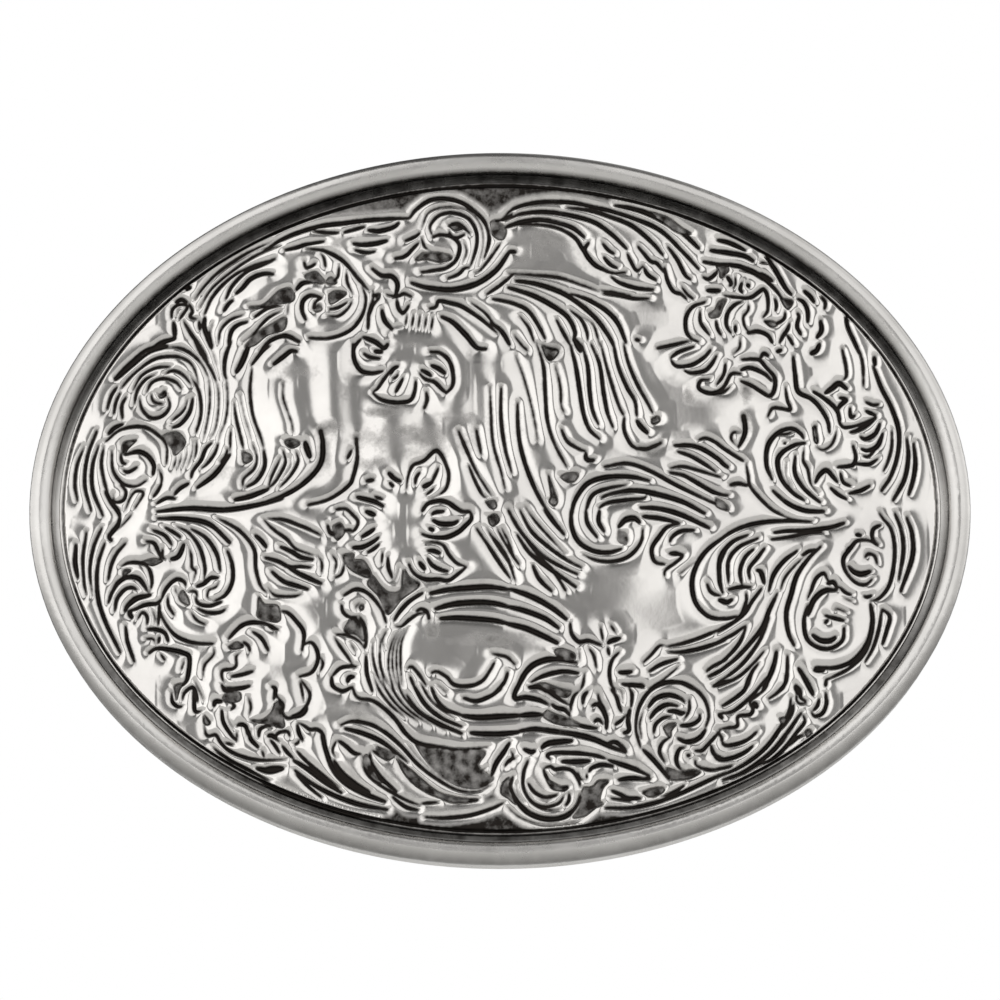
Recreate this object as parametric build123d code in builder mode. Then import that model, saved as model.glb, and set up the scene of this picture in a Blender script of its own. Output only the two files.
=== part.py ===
"""Oval trophy belt buckle: a cast rim round a struck scroll-work face, with a strap bail and a
belt-hole hook on the back.

Millimetres. +X is to the right and +Z is up as the buckle is worn and seen from the front, and
the face looks along -Y. The origin is the middle of the rear surface, which lies against the belt.
The whole buckle is bent to a large cylinder standing along Z, so that its ends fall back to the body.
Heights are counted forward from the rear surface, square to that cylinder.
"""

import os

from build123d import *

os.makedirs("parts", exist_ok=True)

# Outline and bend
HALF_W = 47.625  # half of 3 3/4 in
HALF_H = 36.75
BEND_R = 540.0  # radius of the rear surface
REACH = 60.0  # longer than anything on the buckle

# Layers, as heights in front of the rear surface
BACK_T = 0.8  # back plate
SEAT_H = 2.0  # ledge that carries the face plate
FACE_T = 0.8
LIP_H = 2.3  # groove between bead and face
EDGE_H = 3.0  # turned edge of the face plate
CREST_H = 4.4  # top of the bead

# Rim, as distances in from the outline
BACK_IN = 1.2  # rabbet for the back plate
BEAD_W = 2.3
LIP_IN = 2.95
FACE_IN = 3.0
EDGE_W = 0.3
SEAT_IN = 4.6
BEAD_ROUND = 1.1
BACK_ROUND = 0.35

# Strap bail, for a belt 38 mm wide
WIRE_R = 1.5
RUN = 0.05  # running clearance round the hinge bar
BAR_X = 20.0
LOOP_L = 16.5  # hinge bar to outer bar
LOOP_HALF = 22.0  # middle to either side arm
LOOP_BEND = 4.0
LOOP_TILT = 4.0  # degrees that the loop stands off the back at rest
SADDLE_T = 1.0
SADDLE_W = 8.0
SADDLE_Z = 13.0
FOOT_HALF = 7.0
FOOT_ROUND = 1.5

# Belt-hole hook
HOOK_X = -29.0
HOOK_R = 1.6
HOOK_RISE = 3.4
HOOK_SWEEP_R = 6.0
HOOK_SWEEP = 55.0  # degrees
COLLAR_R = 2.7
COLLAR_T = 0.8
PLATE_T = 1.2
PLATE_X = 11.0
PLATE_Z = 24.0
PLATE_CORNER = 2.5

# Rivets
RIVET_R = 1.0
HEAD_R = 1.9
HEAD_T = 0.9
TAIL_R = 1.5
TAIL_T = 0.55
POCKET_GAP = 0.1
BAIL_RIVET_X = 4.9  # either side of the hinge bar
HOOK_RIVET_Z = 8.6

FRONTWARD = Plane.XZ.offset(-20)  # behind everything, looking at the back of the face
ENDWAYS = Plane.XY.offset(-REACH)


def rear_y(x):
    """Y of the rear surface at x."""
    return BEND_R - (BEND_R**2 - x**2) ** 0.5


def bent(low, high):
    """All the space between two heights, bent to the buckle's cylinder."""
    with BuildPart() as space:
        with BuildSketch(ENDWAYS):
            with Locations((0, BEND_R)):
                Circle(BEND_R + high)
                Circle(BEND_R + low, mode=Mode.SUBTRACT)
        extrude(amount=2 * REACH)
    return space.part


def slab(inset, low, high):
    """An oval slab of the buckle, brought in from the outline by inset."""
    with BuildPart() as blank:
        with BuildSketch(FRONTWARD):
            Ellipse(HALF_W - inset, HALF_H - inset)
        extrude(amount=40)
        add(bent(low, high), mode=Mode.INTERSECT)
    return blank.part


def button(x, z, radius, low, high):
    """A round disc at x, z between two heights."""
    space = bent(low, high)
    with BuildPart() as disc:
        with BuildSketch(FRONTWARD):
            with Locations((x, z)):
                Circle(radius)
        extrude(amount=40)
        add(space, mode=Mode.INTERSECT)
    return disc.part


def rivet(x, z, foot_t):
    """A round-headed rivet through a fitting foot_t thick, its tail upset inside the back plate."""
    head = button(x, z, HEAD_R, -foot_t - HEAD_T, -foot_t)
    tail = button(x, z, TAIL_R, BACK_T, BACK_T + TAIL_T)
    with BuildPart() as whole:
        add(head)
        rim = whole.edges().filter_by(GeomType.BSPLINE).sort_by(Axis.Y)[-1]
        fillet(rim, HEAD_T - 0.1)
        add(tail)
        with BuildSketch(Plane.XZ.offset(-rear_y(x) - foot_t - HEAD_T / 2)):
            with Locations((x, z)):
                Circle(RIVET_R)
        extrude(amount=foot_t + BACK_T + HEAD_T / 2 + TAIL_T / 2)
    return whole


BAR_Y = rear_y(BAR_X) + WIRE_R + RUN
SADDLES = {"upper": SADDLE_Z, "lower": -SADDLE_Z}
BAIL_RIVETS = [(BAR_X + side, z) for z in SADDLES.values() for side in (-BAIL_RIVET_X, BAIL_RIVET_X)]
HOOK_RIVETS = [(HOOK_X, HOOK_RIVET_Z), (HOOK_X, -HOOK_RIVET_Z)]
RIVETS = BAIL_RIVETS + HOOK_RIVETS

# Rim: half-round bead on a straight outer wall, a groove inside it, ledge for the face, rabbet for the back
bead_blank, inside = slab(0, 0, CREST_H), slab(BEAD_W, -5, 10)
lip_blank, lip_opening = slab(BEAD_W - 0.5, BACK_T, LIP_H), slab(LIP_IN, SEAT_H, 10)
rabbet, window = slab(BACK_IN, -5, BACK_T), slab(SEAT_IN, -5, 10)
with BuildPart() as rim_frame:
    add(bead_blank)
    add(inside, mode=Mode.SUBTRACT)
    fillet(rim_frame.faces().filter_by(GeomType.CYLINDER).sort_by(Axis.Y)[0].edges(), BEAD_ROUND)
    rear = rim_frame.faces().filter_by(GeomType.CYLINDER).sort_by(Axis.Y)[-1]
    fillet(rear.outer_wire().edges(), BACK_ROUND)
    add(lip_blank)
    add(lip_opening, mode=Mode.SUBTRACT)
    add(rabbet, mode=Mode.SUBTRACT)
    add(window, mode=Mode.SUBTRACT)

# Back plate, pierced for the rivets
back_blank = slab(BACK_IN, 0, BACK_T)
with BuildPart() as back_plate:
    add(back_blank)
    with BuildSketch(FRONTWARD):
        with Locations(*RIVETS):
            Circle(RIVET_R)
    extrude(amount=40, mode=Mode.SUBTRACT)

# Filler bonded between the plates, with a pocket over each rivet tail
core_blank = slab(SEAT_IN, BACK_T, SEAT_H)
pocket_space = bent(BACK_T, BACK_T + TAIL_T + POCKET_GAP)
with BuildPart() as pockets:
    with BuildSketch(FRONTWARD):
        with Locations(*RIVETS):
            Circle(TAIL_R + POCKET_GAP)
    extrude(amount=40)
    add(pocket_space, mode=Mode.INTERSECT)
with BuildPart() as filler_core:
    add(core_blank)
    add(pockets.part, mode=Mode.SUBTRACT)

# Face plate: thin struck sheet with a turned edge
sheet_blank = slab(FACE_IN, SEAT_H, EDGE_H)
edge_hollow = slab(FACE_IN + EDGE_W, SEAT_H + FACE_T, 10)
with BuildPart() as face_plate:
    add(sheet_blank)
    add(edge_hollow, mode=Mode.SUBTRACT)

# Saddles: strip bent over the hinge bar, a riveted foot on either side of it
foot_space, buckle_space = bent(-SADDLE_T, 0), bent(0, 10)
saddles = {}
for where, z in SADDLES.items():
    lower_end = Plane.XY.offset(z - SADDLE_W / 2)
    with BuildPart() as saddle:
        with BuildSketch(FRONTWARD):
            with Locations((BAR_X, z)):
                RectangleRounded(2 * FOOT_HALF, SADDLE_W, FOOT_ROUND)
        extrude(amount=40)
        add(foot_space, mode=Mode.INTERSECT)
        with BuildSketch(lower_end):
            with Locations((BAR_X, BAR_Y)):
                Circle(WIRE_R + RUN + SADDLE_T)
                Rectangle(2 * (WIRE_R + RUN + SADDLE_T), 4, align=(Align.CENTER, Align.MAX))
        extrude(amount=SADDLE_W)
        with BuildSketch(lower_end):
            with Locations((BAR_X, BAR_Y)):
                Circle(WIRE_R + RUN)
                Rectangle(2 * (WIRE_R + RUN), 4, align=(Align.CENTER, Align.MAX))
        extrude(amount=SADDLE_W, mode=Mode.SUBTRACT)
        with BuildSketch(FRONTWARD):
            with Locations((BAR_X - BAIL_RIVET_X, z), (BAR_X + BAIL_RIVET_X, z)):
                Circle(RIVET_R)
        extrude(amount=40, mode=Mode.SUBTRACT)
        add(buckle_space, mode=Mode.SUBTRACT)
    saddles[where] = saddle

# Bail: a closed loop of round wire, standing a little off the back
bar = Vector(BAR_X, BAR_Y, 0)
lean = Vector(1, 0, 0).rotate(Axis.Z, LOOP_TILT)
loop_plane = Plane(origin=bar, x_dir=lean, z_dir=lean.cross(Vector(0, 0, 1)))
with BuildPart() as bail_loop:
    with BuildLine(loop_plane):
        FilletPolyline(
            (0, 0),
            (0, LOOP_HALF),
            (LOOP_L, LOOP_HALF),
            (LOOP_L, -LOOP_HALF),
            (0, -LOOP_HALF),
            (0, -0.01),
            radius=LOOP_BEND,
            close=False,
        )
        Line((0, -0.01), (0, 0))
    with BuildSketch(Plane(origin=bar, z_dir=(0, 0, 1))):
        Circle(WIRE_R)
    sweep()

# Hook: a curved peg on a round collar, set in its own riveted plate
plate_space = bent(-PLATE_T, 0)
with BuildPart() as hook_foot:
    with BuildSketch(FRONTWARD):
        with Locations((HOOK_X, 0)):
            RectangleRounded(PLATE_X, PLATE_Z, PLATE_CORNER)
    extrude(amount=40)
    add(plate_space, mode=Mode.INTERSECT)
    with BuildSketch(FRONTWARD):
        with Locations((HOOK_X, 0)):
            Circle(HOOK_R)
        with Locations(*HOOK_RIVETS):
            Circle(RIVET_R)
    extrude(amount=40, mode=Mode.SUBTRACT)

collar = button(HOOK_X, 0, COLLAR_R, -PLATE_T - COLLAR_T, -PLATE_T)
with BuildPart() as hook_post:
    with BuildLine(Plane.XY):
        stem = Line((HOOK_X, 0), (HOOK_X, HOOK_RISE))
        bend = JernArc(stem @ 1, tangent=(0, 1), radius=HOOK_SWEEP_R, arc_size=-HOOK_SWEEP)
    with BuildSketch(Plane(origin=(HOOK_X, 0, 0), z_dir=(0, 1, 0))):
        Circle(HOOK_R)
    sweep()
    with Locations(bend @ 1):
        Sphere(HOOK_R)
    add(collar)
    add(buckle_space, mode=Mode.SUBTRACT)

pieces = {
    "rim_frame": rim_frame,
    "face_plate": face_plate,
    "filler_core": filler_core,
    "back_plate": back_plate,
    "bail_loop": bail_loop,
    "hook_foot": hook_foot,
    "hook_post": hook_post,
}
for where, saddle in saddles.items():
    pieces[f"bail_saddle_{where}"] = saddle
for number, (x, z) in enumerate(BAIL_RIVETS, 1):
    pieces[f"bail_rivet_{number}"] = rivet(x, z, SADDLE_T)
for number, (x, z) in enumerate(HOOK_RIVETS, 1):
    pieces[f"hook_rivet_{number}"] = rivet(x, z, PLATE_T)

for name, piece in pieces.items():
    piece.part.label = name
    export_step(piece.part, f"parts/{name}.step")
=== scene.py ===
import math

import bpy
import numpy as np
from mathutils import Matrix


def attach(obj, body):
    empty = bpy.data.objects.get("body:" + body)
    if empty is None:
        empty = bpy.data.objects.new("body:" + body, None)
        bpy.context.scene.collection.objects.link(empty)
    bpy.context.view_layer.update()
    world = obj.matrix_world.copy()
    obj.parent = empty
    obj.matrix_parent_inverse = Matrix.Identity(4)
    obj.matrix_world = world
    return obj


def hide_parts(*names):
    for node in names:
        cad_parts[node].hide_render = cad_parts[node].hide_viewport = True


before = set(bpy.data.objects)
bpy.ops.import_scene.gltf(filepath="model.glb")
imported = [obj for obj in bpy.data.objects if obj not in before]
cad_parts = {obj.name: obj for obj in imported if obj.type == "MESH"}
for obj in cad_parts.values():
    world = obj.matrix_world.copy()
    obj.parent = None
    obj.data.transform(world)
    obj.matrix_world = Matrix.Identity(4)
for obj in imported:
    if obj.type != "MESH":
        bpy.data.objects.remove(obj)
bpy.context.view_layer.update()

# ---------------------------------------------------------------- sizes, in millimetres
BEND_R = 540.0          # bend of the whole buckle about an upright axis
MID_DEPTH = 2.5         # height in front of the rear surface at which widths are true
HALF_W, HALF_H = 47.625, 36.75  # half-axes of the whole buckle
FACE_A, FACE_B = 44.61, 33.74   # half-axes of the face plate
SHEET = 2.80            # height of the plate's ground in front of the rear surface
SEAT = 2.0              # underside of the plate
EDGE_H = 3.0            # where the rim's bead meets its straight side wall
CELL = 0.08             # raster on which the ornament is laid out
WALL = 0.15             # width of a cut's sloping side
FAR = 9.0               # more than any distance that matters between cuts
PRESS_REACH = 1.5       # how far from its path a cut is felt
FIT_X, FIT_Z = 0.9934, 0.9924   # size on the plate of what is drawn 1 mm wide or high
NEARER = 0.00059        # change of that size per mm of height, since the lower edge looks nearer
DROP = 0.75             # how much lower than drawn the ornament lies

xs = np.arange(-45.2, 45.2, CELL)
zs = np.arange(-34.4, 34.4, CELL)
X, Z = np.meshgrid(xs, zs)
near = np.full(X.shape, FAR)     # distance to the edge of the nearest cut
sunk = np.zeros(X.shape)         # depth of the cuts


# ---------------------------------------------------------------- strokes of the ornament
def curve(points, spacing=0.07):
    """Points along the smooth curve through the given ones."""
    p = np.array(points, float)
    if len(p) == 2:
        p = np.array([p[0], (p[0] + p[1]) / 2, p[1]])
    ends = np.vstack([2 * p[0] - p[1], p, 2 * p[-1] - p[-2]])
    out = []
    for i in range(1, len(ends) - 2):
        a, b, c, d = ends[i - 1], ends[i], ends[i + 1], ends[i + 2]
        n = max(2, int(np.hypot(*(c - b)) / spacing))
        t = np.linspace(0, 1, n, endpoint=False)[:, None]
        out.append(0.5 * (2 * b + (c - a) * t + (2 * a - 5 * b + 4 * c - d) * t**2
                          + (3 * b - a - 3 * c + d) * t**3))
    return lay(np.vstack(out + [p[-1:]]))


def lay(points):
    """Where points drawn flat, as the plate looks from slightly below, lie on the plate."""
    x, z = points.T
    return np.column_stack([x * (FIT_X + NEARER * z), FIT_Z * z - DROP + NEARER * z * z])


def press(path, half, depth):
    """Sinks a groove of the given half-widths along a path."""
    k = int(PRESS_REACH / CELL)
    for (px, pz), w, deep in zip(path, half, depth):
        i, j = int((pz - zs[0]) / CELL), int((px - xs[0]) / CELL)
        i0, i1 = max(i - k, 0), min(i + k + 2, len(zs))
        j0, j1 = max(j - k, 0), min(j + k + 2, len(xs))
        if i0 >= i1 or j0 >= j1:
            continue
        box = (slice(i0, i1), slice(j0, j1))
        s = np.hypot(X[box] - px, Z[box] - pz) - w
        np.minimum(near[box], s, out=near[box])
        np.maximum(sunk[box], deep * np.clip(-s / WALL, 0, 1), out=sunk[box])


def cut(*points, w=0.34, d=0.30, tip=0.45):
    """An engraved line w wide in its middle, narrowing to tip of that at both ends."""
    path = curve(points)
    t = np.linspace(0, 1, len(path))
    swell = tip + (1 - tip) * np.sin(np.pi * t) ** 0.5
    press(path, w / 2 * swell, d * (0.6 + 0.4 * swell))


def fan(first, last, n, w=0.3, d=0.28, tip=0.45):
    """n cuts spread evenly from one guide line to another."""
    a, b = np.array(first, float), np.array(last, float)
    for t in np.linspace(0, 1, n):
        cut(*(a * (1 - t) + b * t), w=w, d=d, tip=tip)


PIT_NEAR = -0.3         # marks the floor of a pit in the map of distances
PIT_EDGE = 0.08         # half-width of the groove round a pit


def pit(*points, d=0.34):
    """A sunk patch of ground inside a closed smooth outline."""
    path = curve(list(points) + [points[0]])
    j0, j1 = np.searchsorted(xs, [path[:, 0].min() - 0.1, path[:, 0].max() + 0.1])
    i0, i1 = np.searchsorted(zs, [path[:, 1].min() - 0.1, path[:, 1].max() + 0.1])
    box = (slice(i0, i1), slice(j0, j1))
    inside = np.zeros(X[box].shape, bool)
    for (ax, az), (bx, bz) in zip(path, np.roll(path, -1, axis=0)):
        if az != bz:
            cross = (az > Z[box]) != (bz > Z[box])
            inside ^= cross & (X[box] < ax + (Z[box] - az) * (bx - ax) / (bz - az))
    near[box][inside] = PIT_NEAR
    sunk[box][inside] = np.maximum(sunk[box][inside], d)
    press(path, np.full(len(path), PIT_EDGE), np.full(len(path), d))


# upper left: knob and sheaf of lines that follow the rim
cut((-33, 21.9), (-32.4, 22.2), (-31.8, 21.9), w=0.5)
cut((-33.4, 20.2), (-33.3, 21.2), (-32.6, 21.7), (-31.8, 21.5), (-32.3, 20.6), (-32.7, 20), w=0.36)
cut((-32.9, 20.4), (-32.7, 21.2), (-32.2, 21.3), w=0.22)
cut((-33.2, 19.9), (-33.1, 18.9), (-33.1, 18.2), w=0.5)
cut((-33, 18.2), (-34.4, 17.7), (-36, 16.6), w=0.6)
cut((-32.2, 20), (-31.4, 18.6), (-30.3, 17), (-29.6, 15.6), w=0.4)
cut((-31.7, 22), (-31.3, 21), (-31.5, 20.4), (-30.7, 20.1), w=0.34)
cut((-30.6, 20), (-30.5, 18.9), w=0.36)
cut((-30, 20.3), (-30.1, 19.4), (-29.7, 18.2), (-29.3, 17), w=0.55)
cut((-29.2, 19.6), (-29.5, 18.6), (-29.1, 17.2), w=0.25)
cut((-32, 23.3), (-31.5, 23.5), w=0.45)
fan([(-31.1, 22.1), (-30, 23.6), (-28.4, 25.2), (-25.8, 26.9), (-23, 28.2)],
    [(-30.6, 21.2), (-29.4, 23.2), (-27.6, 24.8), (-25, 26.6), (-22.2, 27.8)], 2, w=0.34)
cut((-30.3, 22.6), (-28.4, 24.9), (-25.6, 26.7), (-22.4, 28), w=0.2)
cut((-30.1, 20.5), (-29.2, 22.5), (-27.4, 24.4), (-25.2, 25.6), (-22.8, 26.3), w=0.36)
cut((-27.9, 22.1), (-27.2, 23.6), (-25.8, 25), (-24.4, 25.6), (-23.1, 26.1), w=0.4)
cut((-26.9, 22.7), (-26.2, 23.3), (-25.3, 24.3), (-24, 24.8), (-23, 24.7), w=0.5)
cut((-28.1, 20.9), (-27.6, 21.7), (-27.1, 22.1), w=0.42)
pit((-25.5, 21.3), (-24, 21.6), (-22.4, 23), (-21.2, 23.2), (-21, 22), (-22.6, 21.6), (-24.4, 21.2))
cut((-28.6, 17.4), (-28.4, 18.9), (-27.4, 20), (-26, 20.5), w=0.28)
cut((-27.6, 17.4), (-27.3, 18.8), (-26.6, 19.5), (-25.6, 19.8), w=0.45)
cut((-26.2, 17.6), (-25, 18.6), (-23.6, 20.1), (-22, 21), w=0.34)
cut((-25, 20.2), (-23.6, 21.2), (-22, 21.5), w=0.42)
cut((-24.4, 16.6), (-23.3, 17.8), (-21.8, 18.3), (-20.3, 17.6), w=0.5)
pit((-24.9, 18.6), (-23.4, 19.4), (-21.8, 20.2), (-22, 18.9), (-23.6, 18.4), (-24.9, 17.4),
    (-25.9, 17.2))
# upper left of the middle: scroll in a curled leaf, bell scroll at the top
cut((-24, 27.2), (-21.6, 28.6), (-18.6, 29.6), (-15.6, 30), (-12.4, 30.3), (-9.2, 30.4), w=0.5)
cut((-19, 29.2), (-17.4, 29), (-16.3, 29), w=0.4)
cut((-21.9, 27.2), (-20.6, 27.5), (-19.6, 27.8), (-17.8, 28.1), w=0.4)
cut((-19.8, 27.4), (-17.8, 27.1), (-15.9, 26), (-14.4, 24.2), (-13.2, 22.8), w=0.4)
cut((-18.3, 26.9), (-17.9, 26.4), (-17.7, 25.4), w=0.3)
cut((-19.9, 26), (-19.7, 25.4), (-19.2, 25.5), (-18.7, 25.8), w=0.34)
pit((-19.9, 24.6), (-18.8, 25), (-18.2, 24.5), (-17.4, 23.7), (-16.6, 23.8), (-17.2, 24.4),
    (-18, 23.8), (-19.4, 24))
cut((-20.8, 23), (-20, 23.8), (-18.8, 24), w=0.5)
cut((-16.3, 25.7), (-16.5, 24.4), (-17.2, 23.8), w=0.3)
cut((-15.6, 25.2), (-15.5, 23.8), (-14.9, 22.5), w=0.28)
cut((-18.1, 22.2), (-19.2, 22.5), (-20, 21.9), (-20.1, 20.9), (-19.7, 19.9), w=0.45)
cut((-18, 22.3), (-18.7, 21.8), (-19, 21), w=0.34)
pit((-18.9, 21), (-18.4, 21.6), (-18.1, 21), (-18.6, 20.8), d=0.24)
pit((-17.4, 22.6), (-16.6, 23), (-15.6, 22.7), (-16.4, 22), (-17.2, 21.6))
cut((-17.4, 21), (-16.4, 21.2), (-15.4, 21.8), w=0.36)
cut((-17.6, 20.3), (-16.4, 20.3), (-15.5, 21), (-15, 21.8), w=0.3)
cut((-14, 23.4), (-13.6, 22), (-14, 20.3), (-15.2, 18.8), (-17.2, 18), (-19.4, 18), w=0.36)
cut((-21.6, 20.4), (-21.4, 21.9), (-20.7, 23.2), w=0.3, d=0.22)
cut((-12.9, 23), (-12.9, 22), (-13.3, 20.6), (-13.4, 18.8), w=0.36)
pit((-12.8, 22.5), (-12.2, 22.6), (-12.4, 22))
cut((-12.2, 22.2), (-12.9, 21.4), (-13.2, 20.4), w=0.34)
cut((-12, 20.9), (-11.7, 19.8), (-10.9, 18.8), w=0.5)
cut((-11.4, 18.4), (-11, 18.9), (-9.8, 19.2), w=0.2, d=0.2)
cut((-13.9, 18.1), (-12.7, 17.6), (-11.8, 16.9), (-11.4, 17.3), w=0.55)
cut((-14, 18), (-14.8, 17), (-14.9, 15.8), w=0.34)
cut((-13, 25.2), (-12, 24.5), (-11, 24.4), (-10.4, 23.6), (-10.6, 22.4), (-10.9, 22.2), w=0.5)
cut((-11.6, 22.5), (-10.5, 22.3), (-9.7, 22.6), (-8.9, 22.2), w=0.36)
cut((-10.5, 22.2), (-10.3, 21.1), (-9.8, 20.6), (-9.2, 21.4), w=0.42)
fan([(-9.4, 20.6), (-9.6, 19.2)], [(-6.8, 20.1), (-7, 18.8)], 5, w=0.26)
cut((-7.2, 21), (-6.5, 21.2), (-6.2, 21.8), (-5, 21.6), (-3.8, 21.2), (-2, 20), (-0.2, 18.4),
    w=0.45)
cut((-6, 20.2), (-4.8, 19.6), (-3.4, 18.2), (-2.4, 17), (-1.4, 16.8), w=0.55)
cut((-3, 21.6), (-1.6, 20.6), (-0.6, 19.4), (0.4, 18.6), w=0.3)
cut((-10.2, 30), (-10.8, 29.5), (-12.2, 29.1), (-13.4, 29.2), w=0.5)
cut((-13.6, 29.6), (-14.4, 29.4), (-15.9, 29), w=0.4)
cut((-14.9, 27.8), (-13.9, 27.7), (-12.7, 27.8), (-11.8, 28), (-11.4, 28.1), w=0.55)
cut((-14.8, 27.2), (-13.6, 26.9), (-12.6, 27), w=0.4)
cut((-10.7, 26.2), (-9.6, 26.5), (-8.8, 27.3), (-8.2, 27.9), w=0.4)
cut((-9.7, 28), (-8.6, 28.5), (-8.1, 28.9), w=0.34)
pit((-7.8, 26.9), (-6.4, 26.9), (-5.1, 26.6), (-4.9, 26.2), (-6, 25.9), (-7.4, 26.2), (-8.6, 26.1))
cut((-8, 28.4), (-7.6, 27.4), (-6.8, 26.9), w=0.3)
cut((-8, 24.8), (-6.8, 25), (-5.4, 25.3), (-4.4, 26.2), (-4.1, 27.6), (-4.9, 28.5), (-6.1, 28.7),
    (-6.9, 28.4), w=0.42)
cut((-6.9, 28.7), (-7.1, 29.6), (-6.2, 30.7), (-4.8, 31), (-3.2, 30.4), (-2.4, 29), (-2.4, 27.4),
    (-3, 25.4), w=0.4)
cut((-9.2, 30.4), (-8.4, 31.4), (-6.8, 32.4), (-4.6, 32.3), (-2.8, 31.3), (-1.5, 29.9),
    (-1.1, 28.2), (-1.6, 26.2), w=0.5)
cut((-7.9, 29.4), (-7.2, 31), (-5.4, 31.6), (-3.4, 31.3), (-2, 29.8), (-1.7, 27.8), (-2.2, 25.4),
    w=0.28)
pit((-5.3, 29.7), (-4.6, 29.8), (-3.8, 29.4), (-4.6, 29.2))
cut((-5, 29.9), (-4.2, 29.9), (-3.4, 29.2), (-2.9, 28.7), w=0.36)
cut((-5.2, 29.2), (-4.9, 28.5), (-4.3, 28.4), (-3.5, 28.8), w=0.4)
cut((-5.4, 24.1), (-4.2, 24.6), (-3.6, 25.2), (-3, 25.3), w=0.34)
cut((-3.8, 28.2), (-3.4, 27), (-3.8, 25.7), w=0.25)
cut((-9, 23.7), (-7.2, 23.2), (-4.8, 23), (-2.4, 23.6), (-0.4, 25), (1, 27), w=0.6)
cut((-2.6, 24.6), (-2, 25), (-1.2, 26), (0.2, 28), w=0.3)
cut((-1.4, 22.4), (0, 23.4), (1.4, 24.6), w=0.34)
cut((-0.6, 30.2), (0.4, 30.3), (1.4, 31), w=0.4)
pit((-1, 30), (-0.4, 30.2), (0.6, 29.3), (0.2, 28.2), (-0.8, 28.8))
# upper edge: large plume, its folds running down to the middle
cut((0.2, 30.4), (1.6, 31.5), (4, 32.1), (7, 32.1), (10, 31.5), (13.2, 30.6), (16.2, 29.3),
    (18.4, 27.2), (20.2, 25.2), w=0.5)
cut((6.6, 31.6), (9, 31.3), (11, 30.7), (13.4, 29.7), (15.4, 28), (16.6, 26.6), w=0.5)
cut((0.6, 30.2), (2.2, 30.9), (4.8, 31.1), (7.4, 30.7), (9.6, 30), (11.4, 28.7), (12.9, 27.2),
    w=0.5)
cut((0.3, 29.4), (2, 30), (4, 30.3), (5.8, 30), (7.4, 29.4), (8.6, 28.4), w=0.6)
cut((2, 29.7), (4, 29.8), (6, 29.4), (7.6, 28.4), (8.4, 27.2), (9.4, 25.8), (11.2, 24.8),
    (12.8, 24.8), w=0.42)
cut((9, 27.9), (8.6, 27), (9.6, 25.6), (11, 24.9), w=0.5)
cut((10.4, 27.8), (11, 27.1), (11.6, 26.7), w=0.36)
cut((10.5, 26.4), (11.2, 25.6), (12, 25.2), w=0.4)
cut((12.9, 26.8), (13.3, 25.9), (13.9, 25), (14.6, 25.6), w=0.34)
cut((11.2, 24.4), (12.2, 23.7), (13.8, 23.2), (15.6, 23), w=0.42)
cut((0.9, 27), (1.6, 26.9), w=0.4)
cut((10.3, 22.6), (12, 22.4), (13.6, 22.1), (15.2, 22.1), w=0.36)
cut((10.2, 22.9), (11.6, 22.7), (13.4, 22.4), w=0.3)
cut((14, 27.5), (14.6, 26.8), (15.3, 26), (15.9, 25.8), (16.7, 24.8), w=0.4)
cut((14.6, 25.4), (15, 24.6), (15.9, 24), w=0.42)
cut((17, 27.6), (18, 26.2), (18.8, 24.6), (19.4, 24.1), w=0.42)
cut((16.7, 25.4), (17, 24), (17.6, 22.9), (18.4, 22.6), (19, 22), w=0.4)
cut((18.4, 23.4), (19, 22.6), (19.7, 22), w=0.3)
cut((11.6, 31.8), (13.4, 31.5), (15, 31), (17, 30), (18.6, 29), (20.2, 27.4), w=0.6)
pit((15.2, 31.2), (17, 30.6), (18.4, 29.6), (19.4, 28.9), (18, 29.1), (16.6, 30.1))
cut((19, 28.6), (19.8, 27.8), (20.3, 27.4), w=0.3)
cut((0.8, 24.6), (3, 24.5), (6, 24.2), (8.4, 23.4), (10, 22.8), w=0.3, d=0.22)
cut((1.5, 23.9), (3.6, 23.6), (6.2, 22.7), (8.2, 21.4), (9.8, 19.9), (11, 18.2), (11.6, 17), w=0.55)
cut((0.8, 23.2), (3, 22.5), (5, 21.5), (6.8, 20.2), (7.6, 18.6), (7.4, 17.6), w=0.55)
cut((7.1, 22.6), (9, 21.9), (10.8, 20.8), (12, 19.4), (12.8, 17.4), w=0.5)
cut((-0.8, 22), (1.2, 21.6), (2.8, 20.8), (3.8, 19.4), (4.6, 17.8), w=0.42)
cut((2, 20.2), (2.9, 19), (3.5, 17.4), w=0.28)
cut((5.7, 19.9), (6.2, 18.9), (6.8, 17.8), (7.4, 16.8), w=0.34)
cut((7, 20.9), (8.2, 19.9), (8.8, 18.6), (8.9, 17.6), w=0.34)
cut((8.2, 20.2), (9.4, 19.4), (9.9, 18), (10.1, 17), w=0.25)
cut((10.9, 20.7), (11.9, 19.9), w=0.36)
cut((7.6, 17.8), (8, 17), (8.2, 16.6), w=0.7)
pit((4.2, 17.2), (5, 16.9), (5.9, 16.6), (5.4, 15.8), (4.8, 15.8))
cut((-1, 19.6), (0.2, 18.6), (1, 17.2), w=0.5)
cut((1.4, 18.2), (2.2, 17.2), (2.8, 16.6), w=0.3, d=0.2)
cut((13.7, 17.8), (14.2, 17.7), w=0.3)
cut((20.9, 21.8), (19.6, 21.3), (18.9, 20.2), (18.9, 18.8), (19.4, 18), (20.2, 17.6), w=0.4)
cut((20.3, 20.9), (20.4, 19.6), (21.3, 18.3), w=0.34)
cut((21.9, 20), (22.1, 19), (22.5, 18.3), w=0.34)
cut((15.9, 16.9), (17.6, 17.3), (19.4, 17.8), w=0.36)
pit((21.2, 20.6), (21.4, 20.2), (22.2, 20.3), (22.6, 21.2), (23, 22.2), (22.2, 21.8), (21.8, 21),
    d=0.3)
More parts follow.
